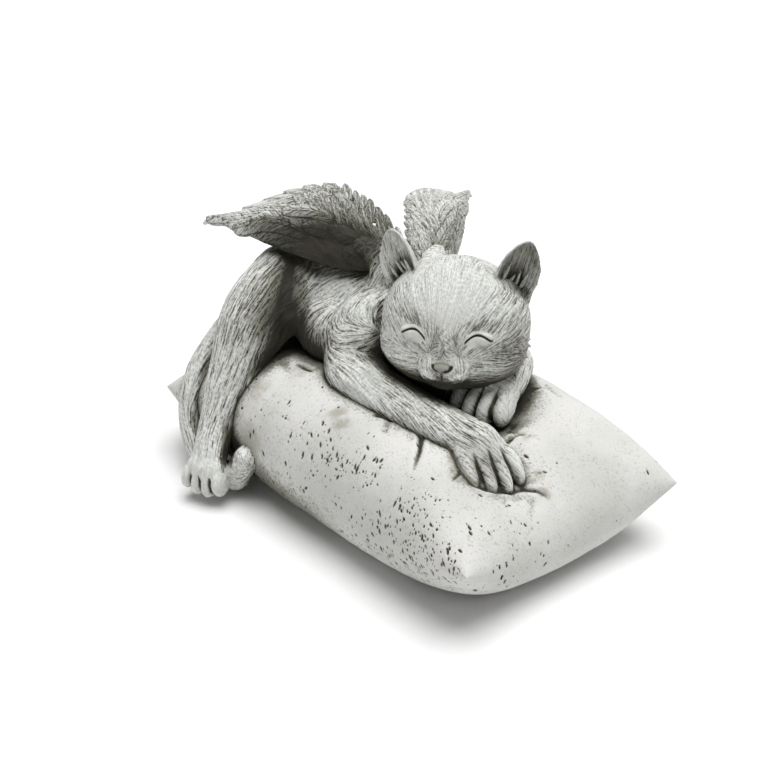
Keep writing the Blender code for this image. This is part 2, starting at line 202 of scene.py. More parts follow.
def ball(centre, radii, turn=None):
    """An ellipsoid with its own axes turned by a 3 x 3 matrix."""
    form = bmesh.new()
    bmesh.ops.create_icosphere(form, subdivisions=4, radius=1.0)
    place = Matrix.Translation(centre)
    if turn is not None:
        place = place @ turn.to_4x4()
    place = place @ Matrix.Diagonal((*radii, 1.0))
    bmesh.ops.transform(form, matrix=place, verts=form.verts)
    return object_from_bmesh("ball", form)


def limb(stations):
    """A round limb through (x, y, z, radius) stations in millimetres, with domed ends."""
    curve = bpy.data.curves.new("limb", "CURVE")
    curve.dimensions = "3D"
    curve.bevel_depth = 1.0
    curve.bevel_resolution = 12
    curve.resolution_u = 20
    curve.use_fill_caps = True
    spline = curve.splines.new("BEZIER")
    spline.bezier_points.add(len(stations) - 1)
    for point, (x, y, z, radius) in zip(spline.bezier_points, stations):
        point.co = mm(x, y, z)
        point.radius = radius * 0.001
        point.handle_left_type = "AUTO"
        point.handle_right_type = "AUTO"
    ends = [ball(mm(x, y, z), mm(radius, radius, radius))
            for x, y, z, radius in (stations[0], stations[-1])]
    return [new_object("limb", curve), *ends]


def paw_axes(toward):
    """A paw's own axes: ahead to the claws, sideways and up."""
    ahead = Vector(toward).normalized()
    side = Vector((0, 0, 1)).cross(ahead).normalized()
    return ahead, side, ahead.cross(side)


def paw(heel, toward, width, length, height, toe_drop):
    """A flat paw: its palm, and four toes from the wrist towards the claws."""
    ahead, side, up = paw_axes(toward)
    turn = Matrix((ahead, side, up)).transposed()
    heel = mm(*heel)
    palm = ball(heel + ahead * length * 0.0002, mm(length * 0.52, width * 0.46, height * 0.5), turn)
    toes = []
    for k in range(4):
        across = (k - 1.5) / 1.5
        reach = length * (0.92 - 0.14 * across ** 2)
        root = heel + ahead * (reach * 0.0003) + side * (across * width * TOE_SPREAD[0] * 0.001)
        toe = heel + ahead * (reach * 0.001) + side * (across * width * TOE_SPREAD[1] * 0.001)
        toe = toe + up * (toe_drop * 0.001)
        line = toe - root
        axis = line.normalized()
        across_axis = up.cross(axis).normalized()
        roll = Matrix((axis, across_axis, axis.cross(across_axis))).transposed()
        half = line.length * 500 + width * 0.13
        toes.append(ball((root + toe) / 2, mm(half, width * 0.148, height * 0.42), roll))
    return palm, toes


def apply_modifiers(made):
    """Give an object the mesh that its modifiers make, and clear them."""
    old = made.data
    view = made.evaluated_get(bpy.context.evaluated_depsgraph_get())
    made.data = bpy.data.meshes.new_from_object(view)
    made.modifiers.clear()
    bpy.data.meshes.remove(old)
    return made


def fuse(name, pieces, voxel, smoothing):
    """Join overlapping closed forms into one skin and soften it."""
    form = bmesh.new()
    for piece in pieces:
        view = piece.evaluated_get(bpy.context.evaluated_depsgraph_get())
        mesh = bpy.data.meshes.new_from_object(view)
        form.from_mesh(mesh)
        bpy.data.meshes.remove(mesh)
        bpy.data.objects.remove(piece)
    made = object_from_bmesh(name, form)
    remesh = made.modifiers.new("Skin", "REMESH")
    remesh.mode = "VOXEL"
    remesh.voxel_size = voxel
    soften = made.modifiers.new("Soften", "SMOOTH")
    soften.factor = 0.5
    soften.iterations = smoothing
    return apply_modifiers(made)


# -------------------------------------------------------------- the head's form
# The head rests on the right foreleg, its face turned towards the open end of the pillow: round
# cheeks, a small muzzle with full lips, and cupped, upright ears.
HEAD_CENTRE = (0.0345, 0.0075, 0.131)
HEAD_TURN = -52.7
EYE_OUT = 19.5             # millimetres from the middle of the face to each closed eye
EYE_UP = 8
EAR_NOTCH = 0.30           # how far an ear's outer edge draws in at its root
HEAD_FRAME = Matrix.Rotation(radians(HEAD_TURN), 3, "Z")
HEAD_AXES = np.array(HEAD_FRAME)
HEAD_MIDDLE = np.array(HEAD_CENTRE) * 1000
SIDES = (-1, 1)            # right and left
EAR_DEEP = 0.009           # how far an ear is cupped
EAR_WALL = 0.0034          # and how thick its middle is
EAR_SUNK = 0.3             # the share of its height that is sunk in the skull


def head_point(x, y, z):
    """A place on the head in millimetres: x out of the face, y to its left, z to the crown."""
    return Vector(HEAD_CENTRE) + HEAD_FRAME @ mm(x, y, z)


def head_ball(x, y, z, rx, ry, rz):
    return ball(head_point(x, y, z), mm(rx, ry, rz), HEAD_FRAME)


def skull(shrink=0.0):
    """Skull, cheeks and muzzle; shrunk a little, they also carry the neck up under the head."""
    sizes = ((0, 0, 1, 38, 45, 40), (7, 0, -11, 31, 45, 26), (33, 0, -12, 12, 17, 12),
             (35, 0, -3, 9, 7, 15), (28, 0, -22, 10, 14, 8))
    return [head_ball(x, y, z, rx - shrink, ry - shrink, rz - shrink) for x, y, z, rx, ry, rz in sizes]


def face():
    """Nose pad, the pads of the muzzle, the chin and the bulges of the closed eyes."""
    forms = [head_ball(44.5, 0, -8, 3.6, 4.8, 3.0), head_ball(36, 0, -21.5, 5.5, 6.5, 4.5)]
    for side in SIDES:
        forms.append(head_ball(30.4, side * EYE_OUT, EYE_UP - 1.5, 4.2, 7.6, 4.8))
        forms.append(head_ball(38.6, side * 6.4, -14.8, 6.0, 7.4, 5.4))
    return forms


def ear_axes(side):
    """An ear's root, its way up, its half width and the way that it faces."""
    rise = mm(-6, side * 8, 30)
    wide = mm(6, -side * 12, 9)
    return head_point(1, side * 35, 24), rise, wide, rise.cross(wide).normalized() * side


def ear(side):
    """A cupped triangular ear with a rounded tip, its root sunk in the skull."""
    root, rise, wide, facing = ear_axes(side)
    rows, columns = 49, 37
    front = np.zeros((rows, columns, 3))
    back = np.zeros((rows, columns, 3))
    for i in range(rows):
        height = i / (rows - 1) * (1 + EAR_SUNK) - EAR_SUNK
        taper = (1 - max(height, 0) ** 2.2) ** 0.75 * 0.93 + 0.07
        for j in range(columns):
            across = 2 * j / (columns - 1) - 1
            hollow = facing * (-EAR_DEEP * (1 - across ** 2) * taper)
            if across < 0:
                across *= 1 - EAR_NOTCH * cos(min(max(height, 0) / 0.6, 1) * pi / 2)
            point = rise * height + wide * (across * taper) + hollow
            wall = facing * (EAR_WALL * (1 - 0.4 * abs(across) ** 4) * (1 - 0.4 * max(height, 0)))
            front[i, j] = root + HEAD_FRAME @ (point + wall * 0.3)
            back[i, j] = root + HEAD_FRAME @ (point - wall)
    return grid_shell(front, back)


# ------------------------------------------------------------- the wings' form
# Two small raised wings, cast thick.  s runs from a wing's root to its tip, t from the ridge down
# to the lower edge.
SHOULDER_TURN = -17.0
WING_THICKNESS = 0.0075
SPAN = 0.140               # the ridge's length, root to tip
# Stations in millimetres from the wing's root: back, out, up.
RIDGE = ((0, 2, 4), (22, 13, 17), (45, 24, 23.5), (66, 44, 18.5), (82, 69, 5.5), (95, 94, -3))
LOWER = ((-2, 17, -11), (9, 33, -11), (28, 50, -9), (50, 66, -6), (72, 80, -3), (95, 94, -2))
WING_ROOTS = {-1: (-0.029, 0.013, 0.155), 1: (-0.0262, 0.0241, 0.140)}
WING_TURNS = {-1: 0.0, 1: 4.0}


def length_of(rows):
    return np.linalg.norm(rows, axis=1)


def unit(rows):
    """Each row brought to a length of 1."""
    return rows / length_of(rows)[:, None]


def smooth_path(stations, t):
    """Points at t (0 to 1) on the Catmull-Rom curve through these stations, run on past its ends."""
    points = np.array(stations, float)
    points = np.vstack([points[0] * 2 - points[1], points, points[-1] * 2 - points[-2]])
    spans = len(points) - 3
    place = np.atleast_1d(t) * spans
    i = np.clip(place.astype(int), 0, spans - 1)
    f = np.clip(place - i, 0, 1)[:, None]
    beyond = (place - i)[:, None] - f
    a, b, c, d = (points[i + k] for k in range(4))
    at = (b * 2 + (c - a) * f + (a * 2 - b * 5 + c * 4 - d) * f ** 2
          + (b * 3 - a - c * 3 + d) * f ** 3) * 0.5
    slope = ((c - a) + 2 * (a * 2 - b * 5 + c * 4 - d) * f + 3 * (b * 3 - a - c * 3 + d) * f ** 2) * 0.5
    return at + slope * beyond


def chord_length(s):
    """How broad the wing is at s, never quite nothing."""
    chord = smooth_path(LOWER, s) - smooth_path(RIDGE, s)
    return np.maximum(length_of(chord) * 0.001, 0.004)


def on_wing(side, x, y, lift):
    """Wrap places of a flat wing, x along from the root, y down from the ridge, on the real one."""
    x, y, lift = (np.atleast_1d(value).astype(float) for value in (x, y, lift))
    s = x / SPAN
    mirror = np.array((-1, side, 1)) * 0.001
    ridge = smooth_path(RIDGE, s) * mirror
    inner = np.minimum(s, 0.96)
    chord = smooth_path(LOWER, inner) * mirror - smooth_path(RIDGE, inner) * mirror
    chord = unit(chord)
    span = (smooth_path(RIDGE, s + 0.03) - smooth_path(RIDGE, s - 0.03)) * mirror
    out = np.cross(chord, span)
    out *= side / length_of(out)[:, None]
    broad = chord_length(s)
    t = y / broad
    bulge = 0.8 * broad * np.where(t < 0, t, np.where(t > 1, 1 - t, t * (1 - t)))
    place = ridge + chord * y[:, None] + out * (bulge + lift)[:, None]
    turn = np.array(Matrix.Rotation(radians(SHOULDER_TURN + WING_TURNS[side]), 3, "Z"))
    return np.array(WING_ROOTS[side]) + place @ turn.T


def blade(side):
    """The wing's plain body, thinning towards the tip and both edges."""
    rows, columns = 97, 33
    s, t = np.meshgrid(np.linspace(0, 0.995, rows), np.linspace(0, 1, columns), indexing="ij")
    s, t = s.ravel(), t.ravel()
    wall = WING_THICKNESS * (1 - np.abs(2 * t - 1) ** 3 * 0.8) * (1 - 0.65 * s)
    front = on_wing(side, s * SPAN, t * chord_length(s), wall * 0.2)
    back = on_wing(side, s * SPAN, t * chord_length(s), -wall * 0.8)
    return grid_shell(front.reshape(rows, columns, 3), back.reshape(rows, columns, 3))


def shoulder_blades():
    """The lumps of muscle that carry the wings."""
    forms = []
    for side in SIDES:
        held = [on_wing(side, s * SPAN, 0.5 * chord_length(s), 0)[0] * 1000 for s in (0.0, 0.12)]
        back = (-22, 6, 130) if side < 0 else (-14, 28, 128)
        forms += limb(((*back, 15), (*held[0], 10), (*held[1], 6)))
    return forms


paws = [paw(*sizes) for sizes in PAWS]
soft_forms = [palm for palm, toes in paws] + skull(2.6) + shoulder_blades()
for stations in LIMBS.values():
    soft_forms += limb(stations)
for centre, radii in MASSES.values():
    soft_forms.append(ball(mm(*centre), mm(*radii)))
flesh = fuse("flesh", soft_forms, SKIN_VOXEL, smoothing=17)
skull_flesh = fuse("skull", skull(), SKIN_VOXEL, smoothing=17)
flesh_skin = skin_of(flesh)


def copy_of(source):
    made = source.copy()
    made.data = source.data.copy()
    bpy.context.scene.collection.objects.link(made)
    return made


def read(items, name, width=1, kind=float):
    """One value, or one row of so many values, for each item of a mesh."""
    values = np.zeros(len(items) * width, kind)
    items.foreach_get(name, values)
    return values.reshape(-1, width) if width > 1 else values


def places_of(mesh):
    """A mesh's vertices, in millimetres, and their normals, as arrays."""
    return read(mesh.vertices, "co", 3) * 1000, read(mesh.vertex_normals, "vector", 3)


NEAR_AIR = 0.014            # how far the air close by and far off reaches, in metres
FAR_AIR = 0.070
RAYS = 24 # how many ways each place looks out
RAY_LIFT = 0.0012           # how far over the skin each look starts
RAY_SPREAD = 0.98           # how widely they fan out about the normal
MASS_VOXEL = 0.0019


def open_sky(mesh):
    """For each vertex, how much of the air close by and far off is shut out, 0 to 1."""
    places, normals = places_of(mesh)
    skin = BVHTree.FromPolygons([vertex.co for vertex in mesh.vertices],
                                [face.vertices for face in mesh.polygons])
    random = np.random.default_rng(5)
    fan = unit(random.normal(size=(RAYS, 3)))
    start = places * 0.001 + normals * RAY_LIFT
    shut = np.zeros((len(places), 2))
    for ray in fan:
        toward = unit(normals + ray * RAY_SPREAD)
        reached = np.array([skin.ray_cast(a, b, FAR_AIR)[3] or 1.0 for a, b in zip(start, toward)])
        for k, air in enumerate((NEAR_AIR, FAR_AIR)):
            shut[:, k] += np.clip(1 - reached / air, 0, 1)
    return places, normals, shut / RAYS


def tree_of(points):
    """A search tree over places."""
    tree = KDTree(len(points))
    for index, point in enumerate(points):
        tree.insert(point, index)
    tree.balance()
    return tree


# Everything that throws shade on its neighbours, as one coarse skin.
mass_forms = [*map(copy_of, (pillow_form, flesh, skull_flesh)), *limb(TAIL_TIP),
              *(toe for palm, toes in paws for toe in map(copy_of, toes)),
              *(ear(side) for side in SIDES), *(blade(side) for side in SIDES)]
masses = fuse("masses", mass_forms, MASS_VOXEL, smoothing=1)
MASS_PLACES, MASS_NORMALS, MASS_SHUT = open_sky(masses.data)
MASS_TREE = tree_of(MASS_PLACES)
for made in (masses, pillow_form):
    bpy.data.objects.remove(made)


def shut_in(places, normals):
    """How much air is shut out close by and far off, read from the coarse skin."""
    found = np.array([[(hit[1], hit[2]) for hit in MASS_TREE.find_n(place, 4)] for place in places])
    number = found[:, :, 0].astype(int)
    facing = np.einsum("nkc,nc->nk", MASS_NORMALS[number], normals)
    weight = np.clip(facing, 0.03, 1) / (found[:, :, 1] ** 2 + 0.3)
    share = np.einsum("nk,nkc->nc", weight, MASS_SHUT[number]) / weight.sum(axis=1)[:, None]
    return share[:, 0], share[:, 1]


PIECE_MOST = 195000         # triangles in one piece


def grain(points, seed):
    """Smooth noise from -1 to 1 at an array of places, one unit from lump to lump."""
    cell = np.floor(points).astype(np.int64)
    f = points - cell
    ease = f * f * (3 - 2 * f)
    total = np.zeros(len(points))
    for corner in product((0, 1), repeat=3):
        key = (cell + corner) @ np.array((73856093, 19349663, 83492791)) + seed * 2654435761
        key = (key ^ (key >> 13)) * 1274126177
        key = (key ^ (key >> 16)) & 0xffff
        weight = np.prod(np.where(np.array(corner) == 1, ease, 1 - ease), axis=1)
        total += weight * (key / 32767.5 - 1)
    return total


def spread_out(mesh, values, rounds):
    """Blur per-vertex values along the edges."""
    a, b = read(mesh.edges, "vertices", 2, int).T
    joined = np.bincount(a, minlength=len(values)) + np.bincount(b, minlength=len(values))
    for _ in range(rounds):
        total = np.bincount(a, values[b], len(values)) + np.bincount(b, values[a], len(values))
        values = 0.5 * values + 0.5 * total / np.maximum(joined, 1)
    return values


def bend(mesh, places, normals, rounds):
    """How far each vertex lies below the mean of its surroundings, in millimetres."""
    mean = np.stack([spread_out(mesh, places[:, k], rounds) for k in range(3)], axis=1)
    return np.sum((mean - places) * normals, axis=1)


def shades(mesh, softening, breadth):
    """Each vertex's place, normal, near and far shade, and depth in the hollows about it."""
    places, normals = places_of(mesh)
    near_shade, far_shade = (spread_out(mesh, shade, softening) for shade in shut_in(places, normals))
    return places, normals, near_shade, far_shade, bend(mesh, places, normals, breadth)


def mix_wash(weights, **marks):
    """How thick the dark wash and painted shade lie at each vertex: every mark times its own weight."""
    return sum(weights[name] * mark for name, mark in marks.items())


def past(values, start):
    """How far values go beyond a start, 0 to 1."""
    return np.clip(values - start, 0, 1)


def underside(normals):
    """How far each vertex faces down, 0 to 1."""
    return np.clip(-normals[:, 2], 0, 1)


def move_to(mesh, places):
    mesh.vertices.foreach_set("co", (places * 0.001).astype(np.float32).ravel())
    mesh.update()


def thin(made, hidden=None):
    """Bring a piece under so many triangles, taking them first where it is hidden."""
    for chosen in (hidden, None):
        now = sum(len(face.vertices) - 2 for face in made.data.polygons)
        if now <= PIECE_MOST:
            return
        collapse = made.modifiers.new("Thin", "DECIMATE")
        collapse.ratio = PIECE_MOST / now
        if chosen is not None:
            group = made.vertex_groups.new(name="hidden")
            group.add(np.flatnonzero(chosen).tolist(), 1.0, "REPLACE")
            collapse.vertex_group = "hidden"
        apply_modifiers(made)
        made.vertex_groups.clear()


def washed(points, plan):
    """How much more wash and painted shade lies at each place, less where light is painted, from rounds of
    (x, y, z, reach, amount).
    """
    return sum(amount * bell(length_of(points - place), reach)
               for *place, reach, amount in plan)


def keep_marks(mesh, **marks):
    """Store numbers or directions on the vertices, for the stone's finish to follow."""
    for name, values in marks.items():
        kind, field = ("FLOAT", "value") if values.ndim == 1 else ("FLOAT_VECTOR", "vector")
        layer = mesh.attributes.new(name, kind, "POINT")
        layer.data.foreach_set(field, values.astype(np.float32).ravel())


# ------------------------------------------------------------- the pillow's cloth
# The pillow's surface is pale cast stone, left as it came from the mould: soft lumps, creases
# under the kitten, and long and round air holes that are thickest on the near side.
PIT_COUNT = 640
PIT_HALF = (0.26, 0.85)           # half width of an air hole, in millimetres
PIT_LONG = (1.1, 2.6)             # its length as a multiple of its width
PIT_DEEP = (0.5, 1.1)
PIT_LEAN = (0.32, 0.0, -1.0)      # the way that the long ones run
PIT_FINE = (2.8, 1.7)             # the mesh is finer so near to an air hole, and finer again
SEAT_FINE = 2.2                   # and so near to the kitten
CREASE_FINE = 0.12                # and where a crease cuts in so deep
PIN_HOLES = 520.0                 # finest holes a metre
CLOTH_DEPTH = 0.0014              # relief of the stone's grain, in metres
# Soft lumps: size and height in millimetres, and a seed.
LUMPS = ((7, 0.20, 41), (24, 0.7, 42), (2.6, 0.08, 43))
# Sharp creases, with wash and painted shade in them: points in millimetres, half width, depth.
CREASES = (
    (((-53, -48, 86), (-45, -48, 86), (-38, -47, 86)), 1.5, 1.5),
    (((28, -51, 85), (34, -47, 85), (43, -44, 84)), 1.4, 1.8),
    (((54, -39, 84), (64, -45, 84), (73, -54, 83), (81, -65, 78)), 1.6, 1.7),
    (((102, -54, 77), (100, -48, 77), (98, -42, 77)), 0.9, 1.8),
    (((108, -47, 74), (114, -40, 71), (119, -26, 66), (120, -15, 64), (125, -8, 62), (130, -5, 59)),
     1.5, 2.0),
    (((92, -3, 77), (91, 4, 77), (91, 12, 77)), 1.3, 1.8),
    (((85, 6, 78), (76, 24, 79), (66, 42, 78)), 1.1, 1.0),
    (((110, -10, 73), (115, -5, 69), (118, 2, 67)), 1.2, 1.6),
    (((57, 46, 77), (57, 53, 78), (60, 62, 76)), 1.3, 1.6),
)
# Reach, in millimetres, of the painted contact shade: a dark line along the kitten, a soft shade beside
# it.
SEAT_LINE = 1.5
SEAT_SHADE = 7
# How much of the painted shade, wash and dirt each mark takes on: near, far, hollow, pit and both seat
# marks are painted shade; crease is wash and painted shade; side and low_side are dirt and painted shade.
CLOTH_WASH = {"near": 1.5, "far": 0.85, "hollow": 0.9, "crease": 0.95, "pit": 0.95, "side": 0.02,
              "low_side": 0.65, "seat_line": 0.9, "seat_shade": 0.32}
# Brown weathering: centre in millimetres and reach.
STAINS = ((-46, -48, 86, 10), (8, -62, 82, 9), (16, -66, 79, 8), (100, -48, 77, 7), (106, -45, 75, 6),
          (128, -5, 61, 5), (38, -47, 84, 5), (-50, -88, 44, 15), (-38, -86, 26, 12), (-60, -72, 72, 12),
          (60, 46, 78, 6), (118, 0, 68, 5), (95, 10, 77, 5), (0, -82, 14, 9), (60, -86, 9, 9),
          (95, -88, 9, 9))


def ramp(value, none, full):
    """A soft step from 0 at one value to 1 at another, rising or falling."""
    t = np.clip((value - none) / (full - none), 0, 1)
    return t * t * (3 - 2 * t)


def close_to(points, line, margin):
    """The numbers of the places inside a line's box, with a margin about it."""
    inside = (points > line.min(0) - margin) & (points < line.max(0) + margin)
    return np.flatnonzero(inside.all(axis=1))


def off_line(points, line):
    """Each place's distance from a line of points, and how far along the line it lies, 0 to 1."""
    line = np.array(line, float)
    away = np.full(len(points), 1e9)
    share = np.zeros(len(points))
    for k, (start, end) in enumerate(zip(line[:-1], line[1:])):
        run = end - start
        t = np.clip((points - start) @ run / (run @ run), 0, 1)
        gap = length_of(points - start - t[:, None] * run)
        closer = gap < away
        away[closer] = gap[closer]
        share[closer] = ((k + t) / (len(line) - 1))[closer]
    return away, share


def crease_field(points):
    """How deep, and how dark, each place lies in the cloth's creases."""
    depth = np.zeros(len(points))
    dark = np.zeros(len(points))
    for line, half, deep in CREASES:
        near = close_to(points, np.array(line), 16)
        away, share = off_line(points[near], line)
        strength = np.sqrt(np.clip(4 * share * (1 - share), 0.04, 1))
        cut = deep * strength * bell(away, half)
        lip = 0.3 * deep * strength * bell(away - 2.4 * half, half)
        depth[near] += cut - lip
        dark[near] = np.maximum(dark[near], strength * bell(away, half * 0.8))
    return depth, dark


def pit_crowd(points, normals):
    """How thickly the air holes lie at each place, 0 to 1."""
    near_side = ramp(normals[:, 1], -0.1, -0.5) * ramp(points[:, 2], 4, 12)
    corner = bell(length_of(points - (140, -78, 52)), 42)
    clumps = np.clip(0.65 + 0.8 * grain(points / 24, 31), 0.1, 1.4)
    crowd = 0.03 + near_side * (0.35 + 0.5 * ramp(points[:, 0], -20, 90)) + 0.8 * corner
    return crowd * clumps * (1 - 0.75 * ramp(normals[:, 2], 0.62, 0.90)) * ramp(points[:, 2], 1.5, 6)


def pit_plan(mesh):
    """Each air hole's centre, its long and cross ways, its half sizes and depth."""
    random = np.random.default_rng(21)
    centre = read(mesh.polygons, "center", 3) * 1000
    normal = read(mesh.polygons, "normal", 3)
    weight = pit_crowd(centre, normal) * read(mesh.polygons, "area")
    chosen = random.choice(len(weight), PIT_COUNT, replace=False, p=weight / weight.sum())
    plan = []
    for face in chosen:
        lean = np.array(PIT_LEAN) + random.normal(size=3) * 0.22
        along = lean - normal[face] * (lean @ normal[face])
        along /= np.linalg.norm(along)
        half = PIT_HALF[0] + (PIT_HALF[1] - PIT_HALF[0]) * random.random() ** 1.8
        long = half * random.uniform(*PIT_LONG)
        plan.append((centre[face], along, np.cross(normal[face], along), half, long,
                     random.uniform(*PIT_DEEP)))
    return plan


@contextmanager
def worked(mesh):
    """A mesh opened for work, and put back when the work is done."""
    form = bmesh.new()
    form.from_mesh(mesh)
    yield form
    form.to_mesh(mesh)
    form.free()


def split_faces(made, chosen):
    """Cut each chosen face of a mesh into four; chosen is asked with the faces' centres."""
    with worked(made.data) as form:
        centres = np.array([face.calc_center_median() for face in form.faces]) * 1000
        picked = chosen(centres)
        edges = {edge for face, pick in zip(form.faces, picked) if pick for edge in face.edges}
        bmesh.ops.subdivide_edges(form, edges=list(edges), cuts=1, use_grid_fill=True)


cloth = pillow(181, 111)
cloth.name = "pillow"
PITS = pit_plan(cloth.data)
PIT_TREE = tree_of([pit[0] for pit in PITS])


def near_pit(centres, reach):
    return np.array([PIT_TREE.find(centre)[2] < reach for centre in centres])


def near_crease(centres):
    return np.abs(crease_field(centres)[0]) > CREASE_FINE


def off_skin(skin, points, reach):
    """Distance of each place from a skin, in millimetres, up to a reach."""
    found = (skin.find_nearest(point, reach * 0.001)[3] for point in points * 0.001)
    return np.array([reach if gap is None else gap * 1000 for gap in found])


kitten_skins = [flesh_skin, *(skin_of(toe) for palm, toes in paws for toe in toes)]


def kitten_gap(points, reach):
    """Distance of each place of the cloth from the kitten lying on it."""
    return np.min([off_skin(skin, points, reach) for skin in kitten_skins], axis=0)


split_faces(cloth, lambda centres: near_pit(centres, PIT_FINE[0]) | near_crease(centres)
            | (kitten_gap(centres, SEAT_FINE) < SEAT_FINE))
split_faces(cloth, lambda centres: near_pit(centres, PIT_FINE[1]))
places, normals = places_of(cloth.data)
crease_depth, crease_dark = crease_field(places)
pit_depth = np.zeros(len(places))
pit_dark = np.zeros(len(places))
cloth_tree = tree_of(places)
# Each air hole is cut in, and darkened inside as painted shade.
for centre, along, cross, half, long, deep in PITS:
    found = np.array([index for place, index, gap in cloth_tree.find_range(centre, long * 1.8)], int)
    if not len(found):
        continue
    gap = places[found] - centre
    reach = np.hypot(gap @ along / long, gap @ cross / half)
    pit_depth[found] = np.maximum(pit_depth[found], deep * np.exp(-reach ** 4 * 0.7))
    pit_dark[found] = np.maximum(pit_dark[found], np.exp(-reach ** 4))
lumps = sum(height * grain(places / size, seed) for size, height, seed in LUMPS)
places += normals * (lumps - crease_depth - pit_depth)[:, None]
places[:, 2] = np.maximum(places[:, 2], floor_height * 1000)
move_to(cloth.data, places)

places, normals, near_shade, far_shade, hollow = shades(cloth.data, softening=3, breadth=3)
stain = np.zeros(len(places))
for x, y, z, reach in STAINS:
    gap = length_of(places - (x, y, z))
    stain = np.maximum(stain, bell(gap, reach))
stain = np.maximum(stain, 0.55 * ramp(normals[:, 1], -0.2, -0.8) * ramp(places[:, 2], 7, 1))
# The near side is darker, and its low part more so: partly dirt, partly painted shade.
side = ramp(normals[:, 1], -0.2, -0.8) * ramp(places[:, 0], 90, -60)
low_side = side * ramp(places[:, 2], 46, 14) * ramp(places[:, 0], 110, 0)
seat = kitten_gap(places, 2 * SEAT_SHADE)
# The stored mark is painted shade with some wash and dirt: shade of hollows, air holes and contact with
# the kitten, wash in the creases, dirt and shade on the low near side.
grime = mix_wash(CLOTH_WASH, near=past(near_shade, 0.08), far=past(far_shade, 0.20),
                 hollow=np.clip(hollow, -0.1, 0.3), crease=crease_dark, pit=pit_dark, side=side,
                 low_side=low_side, seat_line=bell(seat, SEAT_LINE),
                 seat_shade=bell(seat, SEAT_SHADE))
keep_marks(cloth.data, grime=grime, stain=stain, crowd=pit_crowd(places, normals))
cloth.data.shade_smooth()


# The finish: pale cast stone, rubbed with a dark wash that stays in the carving, and darkened
# with painted shade in hollows, undersides and where parts meet.
SOOT = (0.030, 0.030, 0.024, 1)
UMBER = (0.055, 0.050, 0.036, 1)
THIN_WASH = (0.23, 0.23, 0.19, 1)
CLOTH_COLOURS = ((0.71, 0.705, 0.68, 1), (0.61, 0.61, 0.58, 1))
EARTH = (0.25, 0.225, 0.15, 1)


class Shading:
    """Short ways to lay nodes in one tree."""

    def __init__(self, tree):
        self.nodes = tree.nodes
        self.link = tree.links.new

    def add(self, kind, feeds, output=0, **settings):
        node = self.nodes.new(kind)
        for name, value in settings.items():
            setattr(node, name, value)
        for socket, value in feeds.items():
            if isinstance(value, bpy.types.NodeSocket):
                self.link(value, node.inputs[socket])
            else:
                node.inputs[socket].default_value = value
        return node.outputs[output]

    def place(self):
        return self.add("ShaderNodeTexCoord", {}, "Object")

    def mark(self, name, output="Fac"):
        return self.add("ShaderNodeAttribute", {}, output, attribute_name=name)

    def math(self, operation, first, second=0.0, clamp=False):
        return self.add("ShaderNodeMath", {0: first, 1: second}, operation=operation, use_clamp=clamp)

    def plus(self, first, second, share=1.0, clamp=False):
        """The first value and a share of the second."""
        return self.math("ADD", first, self.math("MULTIPLY", second, share), clamp)

    def sway(self, first, noise, amount, clamp=False):
        """The first value, moved up and down by so much of a noise."""
        return self.plus(first, self.math("SUBTRACT", noise, 0.5), amount, clamp)

    def noise(self, place, scale, detail=2.0, roughness=0.5):
        return self.add("ShaderNodeTexNoise", {"Vector": place, "Scale": scale, "Detail": detail,
                                               "Roughness": roughness}, "Fac")

    def step(self, value, low, high, out_low=0.0, out_high=1.0):
        return self.add("ShaderNodeMapRange", {"Value": value, "From Min": low, "From Max": high,
                                               "To Min": out_low, "To Max": out_high}, "Result",
                        interpolation_type="SMOOTHSTEP")

    def mix(self, share, first, second):
        return self.add("ShaderNodeMix", {0: share, 6: first, 7: second}, 2, data_type="RGBA")


def wash_group():
    """Stone darkened by the dark wash and painted shade: half dark where a little lies, near black where
    much lies.
    """
    tree = bpy.data.node_groups.new("Dark wash", "ShaderNodeTree")
    for label, way, kind in (("Stone", "INPUT", "Color"), ("Wash", "INPUT", "Float"),
                             ("Colour", "OUTPUT", "Color"), ("Grain", "OUTPUT", "Float")):
        tree.interface.new_socket(label, in_out=way, socket_type="NodeSocket" + kind)
    lay = Shading(tree)
    given = tree.nodes.new("NodeGroupInput")
    place = lay.place()
    mottle = lay.noise(place, 55, 4.0, 0.6)
    speck = lay.noise(place, 1000, 2.0, 0.6)
    wash = lay.sway(lay.sway(given.outputs["Wash"], mottle, 0.22), speck, 0.10, clamp=True)
    dark = lay.mix(lay.step(mottle, 0.35, 0.65), SOOT, UMBER)
    half_dark = lay.mix(lay.step(wash, 0.05, 0.55), given.outputs["Stone"], THIN_WASH)
    end = tree.nodes.new("NodeGroupOutput")
    lay.link(lay.mix(lay.step(wash, 0.45, 1.0), half_dark, dark), end.inputs["Colour"])
    lay.link(speck, end.inputs["Grain"])
    return tree


WASH = wash_group()


def finish_stone(material, lay, stone, wash, relief, depth):
    """Carry stone colour, wash with painted shade, and relief to the material's own shader."""
    shader = material.node_tree.nodes["Principled BSDF"]
    rubbed = lay.nodes.new("ShaderNodeGroup")
    rubbed.node_tree = WASH
    lay.link(stone, rubbed.inputs["Stone"])
    lay.link(wash, rubbed.inputs["Wash"])
    lay.link(rubbed.outputs["Colour"], shader.inputs["Base Color"])
    relief = lay.plus(relief, rubbed.outputs["Grain"], 0.12)
    bump = lay.add("ShaderNodeBump", {"Height": relief, "Strength": 0.85, "Distance": depth}, "Normal")
    lay.link(bump, shader.inputs["Normal"])
    shader.inputs["Roughness"].default_value = 0.85
    shader.inputs["Specular IOR Level"].default_value = 0.25


def new_stone(name):
    """A new material, the short ways to lay its nodes, and the place on the piece."""
    material = bpy.data.materials.new(name)
    material.use_nodes = True
    lay = Shading(material.node_tree)
    return material, lay, lay.place()


def finish_with(made, material):
    made.data.materials.clear()
    made.data.materials.append(material)


